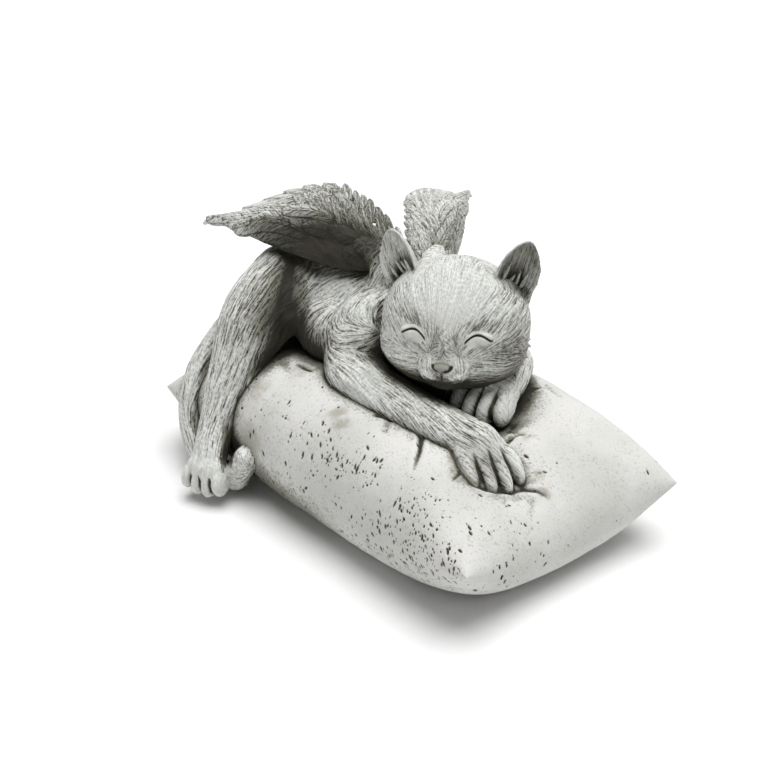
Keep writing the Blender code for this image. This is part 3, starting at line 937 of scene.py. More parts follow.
def cloth_stone():
    """Pale stone with brown weathering, pin holes and a fine dark mottle."""
    material, lay, place = new_stone("pillow_stone")
    blotch = lay.noise(place, 16, 3.0)
    mottle = lay.noise(place, 150, 5.0, 0.7)
    stone = lay.mix(lay.step(blotch, 0.35, 0.7), *CLOTH_COLOURS)
    edge = lay.sway(lay.sway(lay.mark("stain"), mottle, 1.6), blotch, 1.2)
    earth = lay.step(edge, 0.30, 1.05, 0.0, 0.55)
    stone = lay.mix(earth, stone, EARTH)
    lean = lay.add("ShaderNodeMapping", {"Vector": place, "Rotation": (0.25, 0.35, 0),
                                         "Scale": (1.0, 1.0, 0.5)})
    holes = lay.add("ShaderNodeTexVoronoi", {"Vector": lean, "Scale": PIN_HOLES}, "Distance")
    size = lay.step(lay.noise(place, 150, 2.0), 0.45, 0.72, 0.0, 0.36)
    size = lay.math("MULTIPLY", size, lay.step(lay.mark("crowd"), 0.0, 0.8, 0.45, 1.3))
    holes = lay.step(lay.math("SUBTRACT", size, holes), 0.0, 0.14)
    # The stored mark brings painted shade with the wash and dirt, and the pin holes are darkened as
    # painted shade inside them.
    wash = lay.plus(lay.mark("grime"), holes, 0.55)
    wash = lay.math("ADD", wash, lay.step(lay.noise(place, 620, 3.0, 0.65), 0.52, 0.34, 0.0, 0.22))
    wash = lay.math("ADD", wash, lay.step(mottle, 0.50, 0.34, 0.0, 0.07))
    relief = lay.math("SUBTRACT", lay.math("MULTIPLY", mottle, 0.5), lay.math("MULTIPLY", holes, 0.8))
    finish_stone(material, lay, stone, wash, relief, CLOTH_DEPTH)
    return material


finish_with(cloth, cloth_stone())
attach(cloth, "root")
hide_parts("angel_cat_statue")

# ----------------------------------------------------- the kitten's body and limbs
# The coat is carved in long strokes that run with the fur, rubbed with the dark wash and darkened with
# painted shade where shade falls.  The body is kept as two pieces, hindquarters and forequarters, cut
# apart at a flat face.
BODY_VOXEL = 0.00058
COAT_HAIRS = 1100.0        # fine hairs a metre
HAIR_STRIDE = 0.0008       # metres between the looks along a hair that draw it out
WIDE_SHARE = 0.45          # the broad hairs' number, as a share of the fine ones'
WIDE_STRIDE = 0.0036
HAIR_DEPTH = 0.0006        # relief of the finest hairs, in metres
HAIR_COLOURS = ((0.50, 0.51, 0.48, 1), (0.90, 0.91, 0.88, 1))    # between the hairs, and on them
BARE_COLOURS = ((0.62, 0.63, 0.60, 1), (0.72, 0.73, 0.70, 1))    # where there is no fur
BODY_CUT = -42             # millimetres along x, where the two pieces meet
# Which way the fur runs on each limb: how much along it, and a lean added in x, y and z.
FUR_RUN = {"torso": (-0.85, (0, 0, -1.2)), "right hind leg": (1.0, (0, 0, -0.15)),
           "left thigh": (1.0, (0, 0, -0.3)), "left hind foot": (1.0, (0, 0, 0)),
           "right foreleg": (0.9, (0.1, 0, -0.32)), "left foreleg": (1.0, (0, 0, -0.1)),
           "tail": (1.0, (0, 0, 0))}
COAT_STROKE = 1.2          # width of a stroke of fur, in millimetres
STROKE_CUT = (0.10, 0.13)  # how deep the fine and the wide strokes are cut, in millimetres
STROKE_DARK = (0.20, 0.08)
UPPER_ARM = ((-16, -22, 104), 24, (1.0, 0.0, 0.7))     # centre, reach and the fur's way there
FOLD = ((-83, -26, 144), (-75, -37, 132), (-69, -44, 121), (-66, -48, 110), (-67, -45, 97))
FOLD_HALF = 4.5            # half width and depth of the fold, in millimetres
FOLD_DEEP = 3.0
GROOVE_DEEP = 0.7          # depth and half width of the cuts between the toes
GROOVE_HALF = 0.85
# The coat's dark line where it meets the pillow is painted contact shade.
COAT_SEAT = 1.4            # width of the dark line where the coat meets the pillow
FOLD_SHADE = 14.0          # millimetres that its shade reaches to either side
# Painted shadow of the near wing darkens the coat about this place.
WING_SEAT = (-37, -4, 161) # the muscle under the near wing's root
LEFT_PAW = (66, 2, 95)     # the paw that lies in the light under the chin
LEFT_PAW_REACH = 28
HIDDEN_DEPTH = 0.0015      # metres inside the pillow from where nothing shows
# Where painted shade darkens the coat and painted light brightens it, with the wash also lying thicker
# or wiped off: centre in millimetres, reach, amount.
COAT_ROUNDS = ((-84, -62, 98, 26, 0.22), (-75, -48, 112, 18, 0.34), (102, -30, 76, 17, 0.40),
               (-18, -28, 102, 18, 0.26), (10, -44, 92, 14, -0.40), (-70, -112, 18, 17, -0.32),
               (-44, -38, 92, 20, 0.50), (80, -26, 88, 14, 0.20), (40, -40, 84, 18, 0.12),
               (-76, -92, 50, 16, 0.16))
# How much of the dark wash and painted shade each mark takes on: far, under, seat, fold_shade and the
# wing's mark are painted shade; near, hollow and fold are both; groove and fur are the wash in the cuts.
COAT_WASH = {"near": 1.15, "far": 1.7, "bare": -0.05, "hollow": 0.30, "under": 0.35, "seat": 0.35,
             "groove": 1.15, "fold": 0.40, "fold_shade": 0.60, "fur": 1, "wing_seat": 0.85}
BRIDGE = (22, 0, -8)       # where the head's fur starts from, behind the bridge of the nose


def on_limb(points, stations):
    """How far each place lies off a limb's surface, and the limb's own direction there."""
    line = smooth_path(stations, np.linspace(0, 1, 9 * (len(stations) - 1) + 1))
    tangent = np.gradient(line[:, :3], axis=0)
    tangent = unit(tangent)
    off = np.full(len(points), 1e9)
    toward = np.zeros((len(points), 3))
    near = close_to(points, line[:, :3], 45)
    place = points[near]
    best = np.full(len(near), 1e9)
    nearest = np.zeros(len(near), int)
    for k, station in enumerate(line):
        gap = length_of(place - station[:3]) - station[3]
        closer = gap < best
        best[closer] = gap[closer]
        nearest[closer] = k
    off[near] = best
    toward[near] = tangent[nearest]
    return off, toward


def head_places(points):
    """Places in the head's own axes, in millimetres."""
    return (points - HEAD_MIDDLE) @ HEAD_AXES


def fur_flow(points, normals):
    """The way the fur runs at each place of the skin, a unit step along the surface."""
    total = np.zeros((len(points), 3))
    for name, stations in LIMBS.items():
        off, toward = on_limb(points, stations)
        share, lean = FUR_RUN[name]
        total += np.exp(-np.clip(off, -6, 60) / 3.5)[:, None] * (toward * share + lean)
    centre, reach, way = UPPER_ARM
    held = bell(length_of(points - centre), reach, 4)[:, None]
    total = total * (1 - held) + held * length_of(total)[:, None] * way
    head = head_places(points)
    off = (length_of((head - (0, 0, -2)) / (39, 46, 42)) - 1) * 42
    radial = head - BRIDGE
    radial = unit(radial)
    total += np.exp(-np.clip((off - 1.5) / 1.2, -6, 30))[:, None] * (radial @ HEAD_AXES.T)
    total += normals[:, [1, 2, 0]] * 1e-6
    total -= normals * np.sum(total * normals, axis=1)[:, None]
    wander = grain(points / 11, 51)[:, None] * 0.22
    total = unit(total)
    total += np.cross(normals, total) * wander
    return unit(total)


def strokes(points, flow, width, reach, seed):
    """Long soft strokes that run with the flow, about 0 on average and 1 in spread."""
    total = sum(grain((points + flow * (k * reach / 4)) / width, seed) for k in range(-4, 5))
    return total / total.std()


def carve_coat(points, flow, amount, width):
    """Depth of the coat's carving, and how dark the wash lies in it."""
    fine = strokes(points, flow, width, width * 3.2, 1)
    wide = strokes(points, flow, width * 2.2, width * 6.4, 2)
    relief = amount * (STROKE_CUT[0] * fine + STROKE_CUT[1] * wide)
    dark = amount * (STROKE_DARK[0] * ramp(fine, -0.3, -1.7) + STROKE_DARK[1] * ramp(wide, -0.6, -2.0))
    return relief, dark


def keep_outer_skin(made):
    """Drop the small closed pockets inside the stone."""
    with worked(made.data) as form:
        waiting = set(form.verts)
        groups = []
        while waiting:
            group = [waiting.pop()]
            for vertex in group:
                reached = waiting.intersection(edge.other_vert(vertex) for edge in vertex.link_edges)
                waiting -= reached
                group += reached
            groups.append(group)
        for group in sorted(groups, key=len)[:-1]:
            bmesh.ops.delete(form, geom=group, context="VERTS")


def flank_fold(points):
    """The deep soft fold where the thigh meets the flank, and the shade about it, 0 to 1."""
    away = off_line(points, FOLD)[0]
    return bell(away, FOLD_HALF), bell(away, FOLD_SHADE)


def toe_grooves(points):
    """The dark cuts between the toes, 0 to 1."""
    dark = np.zeros(len(points))
    for heel, toward, width, length, height, _ in PAWS:
        ahead, side, up = (np.array(axis) for axis in paw_axes(toward))
        gap = points - heel
        f = gap @ ahead / length
        a = gap @ side
        h = gap @ up / height
        live = ramp(f, 0.25, 0.55) * ramp(f, 1.45, 1.2) * ramp(h, -0.35, -0.1)
        for share in (-2 / 3, 0, 2 / 3):
            line = share * width * (TOE_SPREAD[0] + (TOE_SPREAD[1] - TOE_SPREAD[0]) * (f - 0.3) / 0.65)
            dark = np.maximum(dark, live * bell(a - line, GROOVE_HALF))
    return dark


body_parts = [flesh, *(toe for palm, toes in paws for toe in toes), *limb(TAIL_TIP)]
body = fuse("body", body_parts, BODY_VOXEL, smoothing=2)
keep_outer_skin(body)
places, normals = places_of(body.data)
flow = fur_flow(places, normals)
paw_share = np.zeros(len(places))
for heel, toward, width, length, *_ in PAWS:
    gap = length_of(places - (np.array(heel) + np.array(paw_axes(toward)[0]) * length * 0.7))
    paw_share = np.maximum(paw_share, ramp(gap, width * 0.85, width * 0.45))
relief, fur_dark = carve_coat(places, flow, 1 - 0.55 * paw_share, COAT_STROKE)
groove = toe_grooves(places)
left_paw = bell(length_of(places - LEFT_PAW), LEFT_PAW_REACH, 4)
fold, fold_shade = flank_fold(places)
# Painted shadow under the near wing's root, and painted contact shade where the coat meets the pillow.
root_gap = length_of(places - WING_SEAT)
pillow_gap = off_skin(pillow_skin, places, 6.0)
seat = bell(pillow_gap, COAT_SEAT)
places += normals * (relief - GROOVE_DEEP * groove - FOLD_DEEP * fold)[:, None]
move_to(body.data, places)
places, normals, near_shade, far_shade, hollow = shades(body.data, softening=5, breadth=14)
# The stored mark is the dark wash and painted shade together: shade of hollows, undersides, the pillow's
# edge, the flank's fold and the near wing, less on the paw in the light.
lit = 1 - 0.95 * left_paw
grime = mix_wash(COAT_WASH, near=near_shade * lit, far=past(far_shade, 0.16) * lit, bare=lit,
                 hollow=np.clip(hollow, -0.3, 0.8), under=underside(normals), seat=seat,
                 groove=groove * (1 - 0.4 * left_paw), fold=fold, fold_shade=fold_shade, fur=fur_dark,
                 wing_seat=bell(root_gap, 17, 4))
grime += washed(places, COAT_ROUNDS)
keep_marks(body.data, flow=flow, grime=grime, fur=1 - 0.5 * paw_share)
body.data.shade_smooth()


def drawn_along(lay, place, flow, scale, steps, stride):
    """The mean of a noise over steps to both sides along the fur, so that it draws out in hairs."""
    total = None
    for k in range(-steps, steps + 1):
        moved = lay.add("ShaderNodeVectorMath", {0: flow, 1: (stride * k,) * 3, 2: place},
                        operation="MULTIPLY_ADD")
        fine = lay.noise(moved, scale, 0.0)
        total = fine if total is None else lay.math("ADD", total, fine)
    return lay.math("MULTIPLY", total, 1 / (2 * steps + 1))


def hair_stone(name, hairs):
    """The coat's finish: so many fine hairs a metre, drawn along the fur between the strokes."""
    material, lay, place = new_stone(name)
    flow = lay.mark("flow", "Vector")
    fur = lay.mark("fur")
    grime = lay.mark("grime")
    hair = drawn_along(lay, place, flow, hairs, 4, HAIR_STRIDE)
    wide_hair = drawn_along(lay, place, flow, hairs * WIDE_SHARE, 2, WIDE_STRIDE)
    # The stored mark darkens the coat with painted shade as well as the wash.
    hair_dark = lay.math("MULTIPLY", lay.step(hair, 0.50, 0.41), lay.step(grime, -0.1, 0.5, 0.34, 0.85))
    wash = lay.math("ADD", lay.plus(grime, hair_dark, fur), 0.06)
    shade = lay.math("MULTIPLY", lay.step(hair, 0.42, 0.60), 0.6)
    shade = lay.plus(shade, lay.step(wide_hair, 0.42, 0.58), 0.4)
    stone = lay.mix(shade, *HAIR_COLOURS)
    mottle = lay.step(lay.noise(place, 200, 3.0), 0.35, 0.65)
    plain = lay.mix(mottle, *BARE_COLOURS)
    relief = lay.math("MULTIPLY", lay.step(hair, 0.38, 0.62), lay.math("MULTIPLY", fur, 0.8))
    finish_stone(material, lay, lay.mix(fur, plain, stone), wash, relief, HAIR_DEPTH)
    return material


HAIR_STONE = hair_stone("coat_stone", COAT_HAIRS)


def lies_hidden(points):
    """Whether each place lies well inside the pillow or the head."""
    deep = np.zeros(len(points))
    for index, point in enumerate(map(Vector, points * 0.001)):
        place, normal, *_ = pillow_skin.find_nearest(point)
        deep[index] = (place - point).dot(normal)
    head = head_places(points)
    return (deep > HIDDEN_DEPTH) | (length_of(head / (35, 42, 37)) < 1)


def half_of(source, name, ahead):
    """The half of a closed form ahead of the body's cut, or behind it, closed by a flat face."""
    form = bmesh.new()
    form.from_mesh(source.data)
    everything = form.verts[:] + form.edges[:] + form.faces[:]
    cut = bmesh.ops.bisect_plane(form, geom=everything, plane_co=mm(BODY_CUT, 0, 0),
                                 plane_no=(1 if ahead else -1, 0, 0), clear_inner=True)
    rim = [part for part in cut["geom_cut"] if isinstance(part, bmesh.types.BMEdge)]
    caps = bmesh.ops.holes_fill(form, edges=rim, sides=0)["faces"]
    for edge in rim:
        edge.smooth = False
    bmesh.ops.triangulate(form, faces=caps)
    made = object_from_bmesh(name, form)
    finish_with(made, HAIR_STONE)
    return made


for name, ahead in (("kitten_forequarters", True), ("kitten_hindquarters", False)):
    half = half_of(body, name, ahead)
    thin(half, hidden=lies_hidden(places_of(half.data)[0]))
    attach(half, "root")
    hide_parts("angel_cat_statue")
bpy.data.objects.remove(body)

# ------------------------------------------------------------- the kitten's head
# A sleeping face: lids closed over smooth bulges, a nose pad with curled nostrils, full lips over
# a small dark mouth, short fur running out from the nose, and tufts in the ears.
HEAD_VOXEL = 0.00062
FACE_HAIRS = 1450.0
FACE_STROKE = 0.95         # width of a stroke of fur on the face, in millimetres
LASH_HALF = 7.4            # half width of a closed eye's dark line, in millimetres
LASH_RISE = 4.3
LASH_THICK = 0.58          # half thickness of that line
LID_OVER = 1.45            # how far the lid's rim stands over it
NOSE_UP = -7.6             # heights on the face, in millimetres from the head's middle
NOSTRIL_UP = -9.4
MOUTH_UP = -17.9
NOSE_HALF = (5.6, 3.3)     # half width and half height of the nose pad's dark rim
NOSTRILS = (-3.6, 3.2)     # how far to the sides the nostrils lie
MOUTH_CURL = 2.0           # how far the mouth's line rises and falls
MOUTH_HALF = 10.5          # how far to the side it has run down
# How deep the face's lines are cut, and how far the lid's rim stands out, in millimetres.
LASH_DEEP = 0.9
LID_RIM = 0.45
SOCKET_DEEP = 0.9
NOSE_DEEP = 0.9
CLEFT_DEEP = 0.6
MOUTH_DEEP = 0.45
MARKS_KEPT = ("face_dark", "face_soft", "fur_dark", "well", "cupped")
# How much of the dark wash and painted shade each mark takes on: far and under are painted shade;
# near, hollow, well and soft are both; line and fur are the wash in the cuts.
FACE_WASH = {"near": 1.0, "far": 1.6, "hollow": 0.30, "under": 0.30, "well": 0.60, "line": 1.3,
             "soft": 0.75, "fur": 1}
# Where painted shade darkens the head and painted light brightens it, with the wash also lying thicker
# or wiped off, in the head's own axes: place, reach and amount.
FACE_ROUNDS = ((22, 40, -6, 17, 0.34), (2, 42, 40, 17, 0.40), (24, 0, 28, 19, -0.52),
               (32, 0, 3, 10, 0.62), (40, 0, -19, 8, 0.40), (40, -9, -16, 5, -0.22),
               (26, -36, -8, 9, -0.06))


def lay_tree():
    """Nodes that set copies of one form on points, each turned and sized by its own values."""
    tree = bpy.data.node_groups.new("Lay copies", "GeometryNodeTree")
    inputs = {}
    for label, kind in (("Places", "Geometry"), ("Form", "Object"), ("Stone", "Material")):
        socket = tree.interface.new_socket(label, in_out="INPUT", socket_type="NodeSocket" + kind)
        inputs[label] = socket.identifier
    tree.interface.new_socket("Laid", in_out="OUTPUT", socket_type="NodeSocketGeometry")
    lay = Shading(tree)
    given = tree.nodes.new("NodeGroupInput").outputs
    form = lay.add("GeometryNodeObjectInfo", {"Object": given["Form"]}, "Geometry")
    turn, reach = (lay.add("GeometryNodeInputNamedAttribute", {"Name": name}, "Attribute",
                           data_type="FLOAT_VECTOR") for name in ("turn", "reach"))
    laid = lay.add("GeometryNodeInstanceOnPoints", {"Points": given["Places"], "Instance": form,
                                                    "Rotation": turn, "Scale": reach}, "Instances")
    real = lay.add("GeometryNodeRealizeInstances", {"Geometry": laid}, "Geometry")
    stone = lay.add("GeometryNodeSetMaterial", {"Geometry": real, "Material": given["Stone"]},
                    "Geometry")
    lay.link(stone, tree.nodes.new("NodeGroupOutput").inputs["Laid"])
    return tree, inputs


LAY, LAY_INPUTS = lay_tree()


def lay_copies(form, places, turns, reaches):
    """Real copies of a form at places, with turns in radians and sizes along its own axes."""
    mesh = bpy.data.meshes.new("laid")
    mesh.from_pydata([tuple(place) for place in places], [], [])
    keep_marks(mesh, turn=np.array(turns, float), reach=np.array(reaches, float))
    holder = new_object("laid", mesh)
    layer = holder.modifiers.new("Lay", "NODES")
    layer.node_group = LAY
    layer[LAY_INPUTS["Form"]] = form
    layer[LAY_INPUTS["Stone"]] = HAIR_STONE
    apply_modifiers(holder)
    bpy.data.objects.remove(form)
    return holder


def lock_form():
    """One pointed lock of fur, 1 long along z, round at the root."""
    form = bmesh.new()
    bmesh.ops.create_uvsphere(form, u_segments=12, v_segments=10, radius=1.0)
    for vertex in form.verts:
        share = (vertex.co.z + 1) / 2
        vertex.co.x *= 1 - 0.55 * share
        vertex.co.y *= 1 - 0.55 * share
    return object_from_bmesh("lock", form)


def locks():
    """Shaggy cheeks, and flat tufts of fur standing in the mouths of the ears."""
    random = np.random.default_rng(8)
    places, turns, reaches = [], [], []

    def add(place, lean, flat, length, width, thick):
        ahead = HEAD_FRAME @ Vector(lean).normalized()
        flat = HEAD_FRAME @ Vector(flat)
        broad = flat.cross(ahead).normalized()
        turn = Matrix((broad, ahead.cross(broad), ahead)).transposed()
        places.append(place + ahead * (length * 0.0003))
        turns.append(turn.to_euler())
        reaches.append((width * 0.001, thick * 0.001, length * 0.001))

    for side in SIDES:
        for row in range(2):
            for k in range(7):
                angle = radians(28 - 8.5 * k + 4 * row + random.uniform(-2, 2))
                out = 43.6 - 0.8 * row
                add(head_point(1.5 + 1.2 * k + 5 * row, side * out * cos(angle), -4 + 35 * sin(angle)),
                    (-0.8, side * (0.42 - 0.06 * row), -0.72), (0, side, 0.2),
                    random.uniform(4.2, 6.6), random.uniform(1.6, 2.3), 1.4)
        root, rise, wide, facing = ear_axes(side)
        for k in range(5):
            across = -0.62 + 0.29 * k + random.uniform(-0.05, 0.05)
            hollow = -EAR_DEEP * (1 - across ** 2)
            base = rise * random.uniform(0.12, 0.24) + wide * across + facing * (hollow + 0.0045)
            lean = rise.normalized() + wide.normalized() * random.uniform(-0.55, 0.15) + facing * 0.20
            add(root + HEAD_FRAME @ base, lean, facing, random.uniform(5.0, 7.2),
                random.uniform(1.2, 1.7), 1.1)
    return lay_copies(lock_form(), places, turns, reaches)


def lash_height(head, side):
    """Height of each place above a closed eye's lash line, and the share of its half width."""
    across = (head[:, 1] * side - EYE_OUT) / LASH_HALF
    height = head[:, 2] - (EYE_UP - 2.4 + LASH_RISE * (1 - np.clip(across, -1.3, 1.3) ** 2))
    return height / np.sqrt(1 + (2 * LASH_RISE / LASH_HALF * across) ** 2), across


def face_cuts(head):
    """Depth of the cuts that draw the face, how dark they are, and the soft darkening of its hollows,
    partly wash and partly painted shade.
    """
    depth = np.zeros(len(head))
    dark = np.zeros(len(head))
    soft = np.zeros(len(head))
    front = head[:, 0] > 18
    for side in SIDES:
        height, across = lash_height(head, side)
        fade = ramp(np.abs(across), 1.12, 0.92) * front
        lash = bell(height, LASH_THICK, 4) * fade
        lid = bell(height - LID_OVER, 0.7) * fade
        depth += LASH_DEEP * lash - LID_RIM * lid
        dark = np.maximum(dark, lash)
        gap_y = (head[:, 1] * side - EYE_OUT + 1.5) / 11.0
        gap_z = (head[:, 2] - EYE_UP - 6.5) / 4.6
        socket = np.exp(-gap_y ** 2 - gap_z ** 2) * front
        depth += SOCKET_DEEP * socket
        # Soft darkening, partly wash and partly painted shade, over each eye's socket and under its bulge.
        soft += 0.45 * socket * (1 - 0.8 * bell(height - 1.3, 1.3) * fade)
        under = bell(height + 7.2, 1.6) * ramp(np.abs(across), 1.0, 0.5) * front
        soft += 0.20 * under
    y = head[:, 1]
    z = head[:, 2]
    nose = (head[:, 0] > 38) & (np.abs(y) < 9) & (np.abs(z + 8) < 9)
    ring = np.hypot(y / NOSE_HALF[0], (z - NOSE_UP) / NOSE_HALF[1])
    below = ramp(z - NOSE_UP, 1.6, -0.6)
    rim = bell(ring - 1.0, 0.17, 4) * below
    pits = sum(np.exp(-(((y - at) / 1.35) ** 2 + ((z - NOSTRIL_UP) / 1.0) ** 2)) for at in NOSTRILS)
    depth += np.where(nose, NOSE_DEEP * rim + NOSE_DEEP * pits, 0)
    dark = np.maximum(dark, np.where(nose, np.clip(0.85 * rim + pits, 0, 1), 0))
    muzzle = head[:, 0] > 30
    cleft = bell(y, 0.8) * ramp(z, -10.6, -11.8) * ramp(z, -18.5, -16)
    mouth_line = z - MOUTH_UP + MOUTH_CURL * np.cos(np.clip(np.abs(y) / MOUTH_HALF, 0, 1) * pi)
    mouth = bell(mouth_line, 0.9) * ramp(np.abs(y), 12.5, 9)
    depth += np.where(muzzle, CLEFT_DEEP * cleft + MOUTH_DEEP * mouth, 0)
    # Soft darkening, partly wash and partly painted shade, in the cleft, along the mouth, on the nose pad
    # and under the chin.
    soft += np.where(muzzle, 0.55 * cleft + 0.40 * mouth, 0)
    soft += np.where(nose, 0.55 * ramp(ring, 1.0, 0.8), 0)
    chin = ramp(mouth_line, -0.2, -2.2) * ramp(np.abs(y), 17, 9) * ramp(z, -34, -26)
    soft += np.where(muzzle, 0.55 * chin, 0)
    return depth, dark, soft


def bare_face(head):
    """Where the lids, the nose and the lips under it are smooth, without fur."""
    bare = np.zeros(len(head))
    for side in SIDES:
        height, across = lash_height(head, side)
        lid = ramp(np.abs(height - 0.4), 2.2, 1.2) * ramp(np.abs(across), 1.3, 1.05)
        a = (head[:, 1] * side - EYE_OUT) / 7.4
        b = (head[:, 2] - EYE_UP + 1.8) / 4.6
        bare = np.maximum(bare, np.maximum(lid, ramp(np.hypot(a, b), 1.15, 0.9)))
    bare = np.maximum(bare, ramp(np.hypot(head[:, 1] / 6.8, (head[:, 2] + 7.8) / 4.2), 1.15, 0.85))
    lips = ramp(np.hypot(head[:, 1] / 8, (head[:, 2] + 14) / 4), 1.2, 0.6)
    bare = np.maximum(bare, 0.1 * lips)
    return bare * (head[:, 0] > 22)


def hair_amount(head):
    """How deep the fur is cut: short and fine near the nose, plain on the brow."""
    from_nose = length_of(head - (42, 0, -8))
    brow = np.exp(-(head[:, 1] / 13) ** 2 - ((head[:, 2] - 20) / 13) ** 2)
    amount = 0.85 + 0.15 * ramp(from_nose, 8, 34)
    return amount * (1 - 0.45 * brow) * (1 - bare_face(head))


head_parts = [skull_flesh, *face(), *(ear(side) for side in SIDES), locks()]
head_form = fuse("kitten_head", head_parts, HEAD_VOXEL, smoothing=1)
keep_outer_skin(head_form)
split_faces(head_form, lambda centres: ((head_places(centres) > (24, -29, -21))
                                        & (head_places(centres) < (60, 29, 17))).all(axis=1))
places, normals = places_of(head_form.data)
flow = fur_flow(places, normals)
head = head_places(places)
ear_share = np.zeros(len(places))
ear_well = np.zeros(len(places))
for side in SIDES:
    root, rise, wide, facing = ear_axes(side)
    gap = head - np.array(HEAD_FRAME.inverted() @ (root - Vector(HEAD_CENTRE))) * 1000
    height = gap @ np.array(rise) / rise.length_squared / 1000
    across = gap @ np.array(wide) / wide.length_squared / 1000
    inside = ramp(height, 0.0, 0.15) * ramp(np.abs(across), 1.5, 1.2)
    fan = (np.array(rise) * 1000 + np.array(wide) * 500 * across[:, None]) @ HEAD_AXES.T
    fan -= normals * np.sum(fan * normals, axis=1)[:, None]
    fan = unit(fan)
    flow = flow * (1 - inside[:, None]) + fan * inside[:, None]
    cup = (normals @ HEAD_AXES @ np.array(facing) > 0.1) * ramp(np.abs(across), 0.95, 0.6)
    off_floor = gap @ np.array(facing) + EAR_DEEP * 1000 * (1 - across ** 2)
    cup = cup * ramp(off_floor, 3.6, 2.2)
    ear_share = np.maximum(ear_share, inside)
    # The floor of each ear's cup is darkened, partly wash and partly painted shade.
    ear_well = np.maximum(ear_well, cup * inside * ramp(height, 0.62, 0.1))
flow = unit(flow)
fur = hair_amount(head) * (1 - 0.35 * ear_share)
relief, fur_dark = carve_coat(places, flow, fur, FACE_STROKE)
face_depth, face_dark, face_soft = face_cuts(head)
places += normals * (relief - face_depth)[:, None]
move_to(head_form.data, places)
keep_marks(head_form.data, flow=flow, fur=fur, face_dark=face_dark, face_soft=face_soft, fur_dark=fur_dark,
           well=ear_well, cupped=ear_share)
thin(head_form)

places, normals, near_shade, far_shade, hollow = shades(head_form.data, softening=5, breadth=14)
kept = {name: read(head_form.data.attributes[name].data, "value", kind=np.float32) for name in MARKS_KEPT}
# The stored mark is the dark wash and painted shade together, less of it inside the ears.
lit = 1 - 0.75 * kept["cupped"]
grime = mix_wash(FACE_WASH, near=near_shade * lit, far=past(far_shade, 0.10) * lit,
                 hollow=np.clip(hollow, -0.3, 0.8), under=underside(normals), well=kept["well"],
                 line=kept["face_dark"], soft=kept["face_soft"], fur=kept["fur_dark"])
grime += washed(head_places(places), FACE_ROUNDS)
keep_marks(head_form.data, grime=grime)
for name in MARKS_KEPT:
    head_form.data.attributes.remove(head_form.data.attributes[name])
head_form.data.shade_smooth()
finish_with(head_form, hair_stone("face_stone", FACE_HAIRS))
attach(head_form, "root")
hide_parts("angel_cat_statue")

# ------------------------------------------------------------------- the wings
# Long feathers run to the wing's tip and over its ridge; rounded coverts lie over them in rows,
# and short narrow ones crowd the root.  Barbs and quills are cut into them.
WING_VOXEL = 0.00050
COVERT_TIPS = ((0.71, 0.70), (0.555, 0.48), (0.43, 0.64), (0.30, 0.52), (0.20, 0.76), (0.13, 0.50))
RIDGE_REACH = {-1: 1.0, 1: 0.4}    # how far the short feathers stand over each wing's ridge
# How much of the dark wash and painted shade each mark takes on: far, under, below and the marks
# at the root and midway are painted shade; near, hollow and rim are both; barb is the wash in the cuts.
WING_WASH = {"near": 0.85, "far": 1.3, "hollow": 0.6, "under": 0.35, "rim": 1.0, "barb": 0.8,
             "below": 0.66, "rooted": 0.34, "midway": 0.16}
BARBS = 1250.0             # fine barbs a metre
FEATHER_STROKE = 1.15      # width of a cut between barbs, in millimetres
FEATHER_CUT = 0.75         # its depth, as a share of the coat's
RIM_CUT = 0.5              # depth of the cut along a feather's rim, in millimetres
BARB_LEAN = 0.55           # how far the barbs lean off the quill, as sideways over onward


def feather_plan(side):
    """Each feather's root and tip as (s, t), its half width and the height of its tip, in mm."""
    random = np.random.default_rng(3)
    plan = []
    for k in range(6):
        plan.append(((0.28 + 0.05 * k, 0.88 - 0.10 * k), (0.82 + 0.033 * k, 0.95 - 0.14 * k),
                     6.4 - 0.35 * k, 2.0))
    for k in range(5):
        tip = 0.82 - 0.085 * k
        plan.append(((tip - 0.34, 0.26), (tip, RIDGE_REACH[side] * (-0.09 - 0.02 * k)),
                     4.8 - 0.3 * k, 2.6 + 0.2 * k))
    for s, t in COVERT_TIPS:
        plan.append(((s - 0.26, t - 0.10), (s, t), 4.8, 2.8))
    for k in range(24):
        s = -0.03 + 0.022 * k + random.uniform(-0.012, 0.012)
        over = -0.12 - 0.26 * (1 - min(max(s, 0) / 0.5, 1))
        if k % 2 == 0:
            t = RIDGE_REACH[side] * (over + random.uniform(-0.05, 0.05))
        else:
            t = random.uniform(-0.02, 0.26)
        plan.append(((s - 0.02, t + random.uniform(0.24, 0.36)), (s + random.uniform(0.06, 0.10), t),
                     random.uniform(1.7, 2.5), random.uniform(2.2, 3.2)))
    return plan


FEATHERS = {side: feather_plan(side) for side in SIDES}


def feather_line(start, end):
    """A feather's root on the flat wing, and the way to its tip, in metres."""
    ends = [np.array((s * SPAN, t * chord_length(s)[0])) for s, t in (start, end)]
    return ends[0], ends[1] - ends[0]


def feather_half(f):
    """A feather's half width along its length, as a share of its widest."""
    return np.minimum(0.6 + f, 1) * np.sqrt(np.clip(1 - np.clip((f - 0.62) / 0.38, 0, 1) ** 2.6, 0.003, 1))


def feather_form():
    """One feather, 1 long along x and 1 in half width, crowned, with a raised quill."""
    rows, columns = 41, 21
    f, across = np.meshgrid(np.linspace(0, 1, rows), np.linspace(-1, 1, columns), indexing="ij")
    y = across * feather_half(f)
    crown = 0.0013 * (1 - across ** 2) + 0.0005 * bell(across, 0.12) * (1 - f ** 4)
    front = np.stack([f, y, crown], axis=-1)
    back = np.stack([f, y, np.full_like(f, -0.003)], axis=-1)
    return grid_shell(front, back)


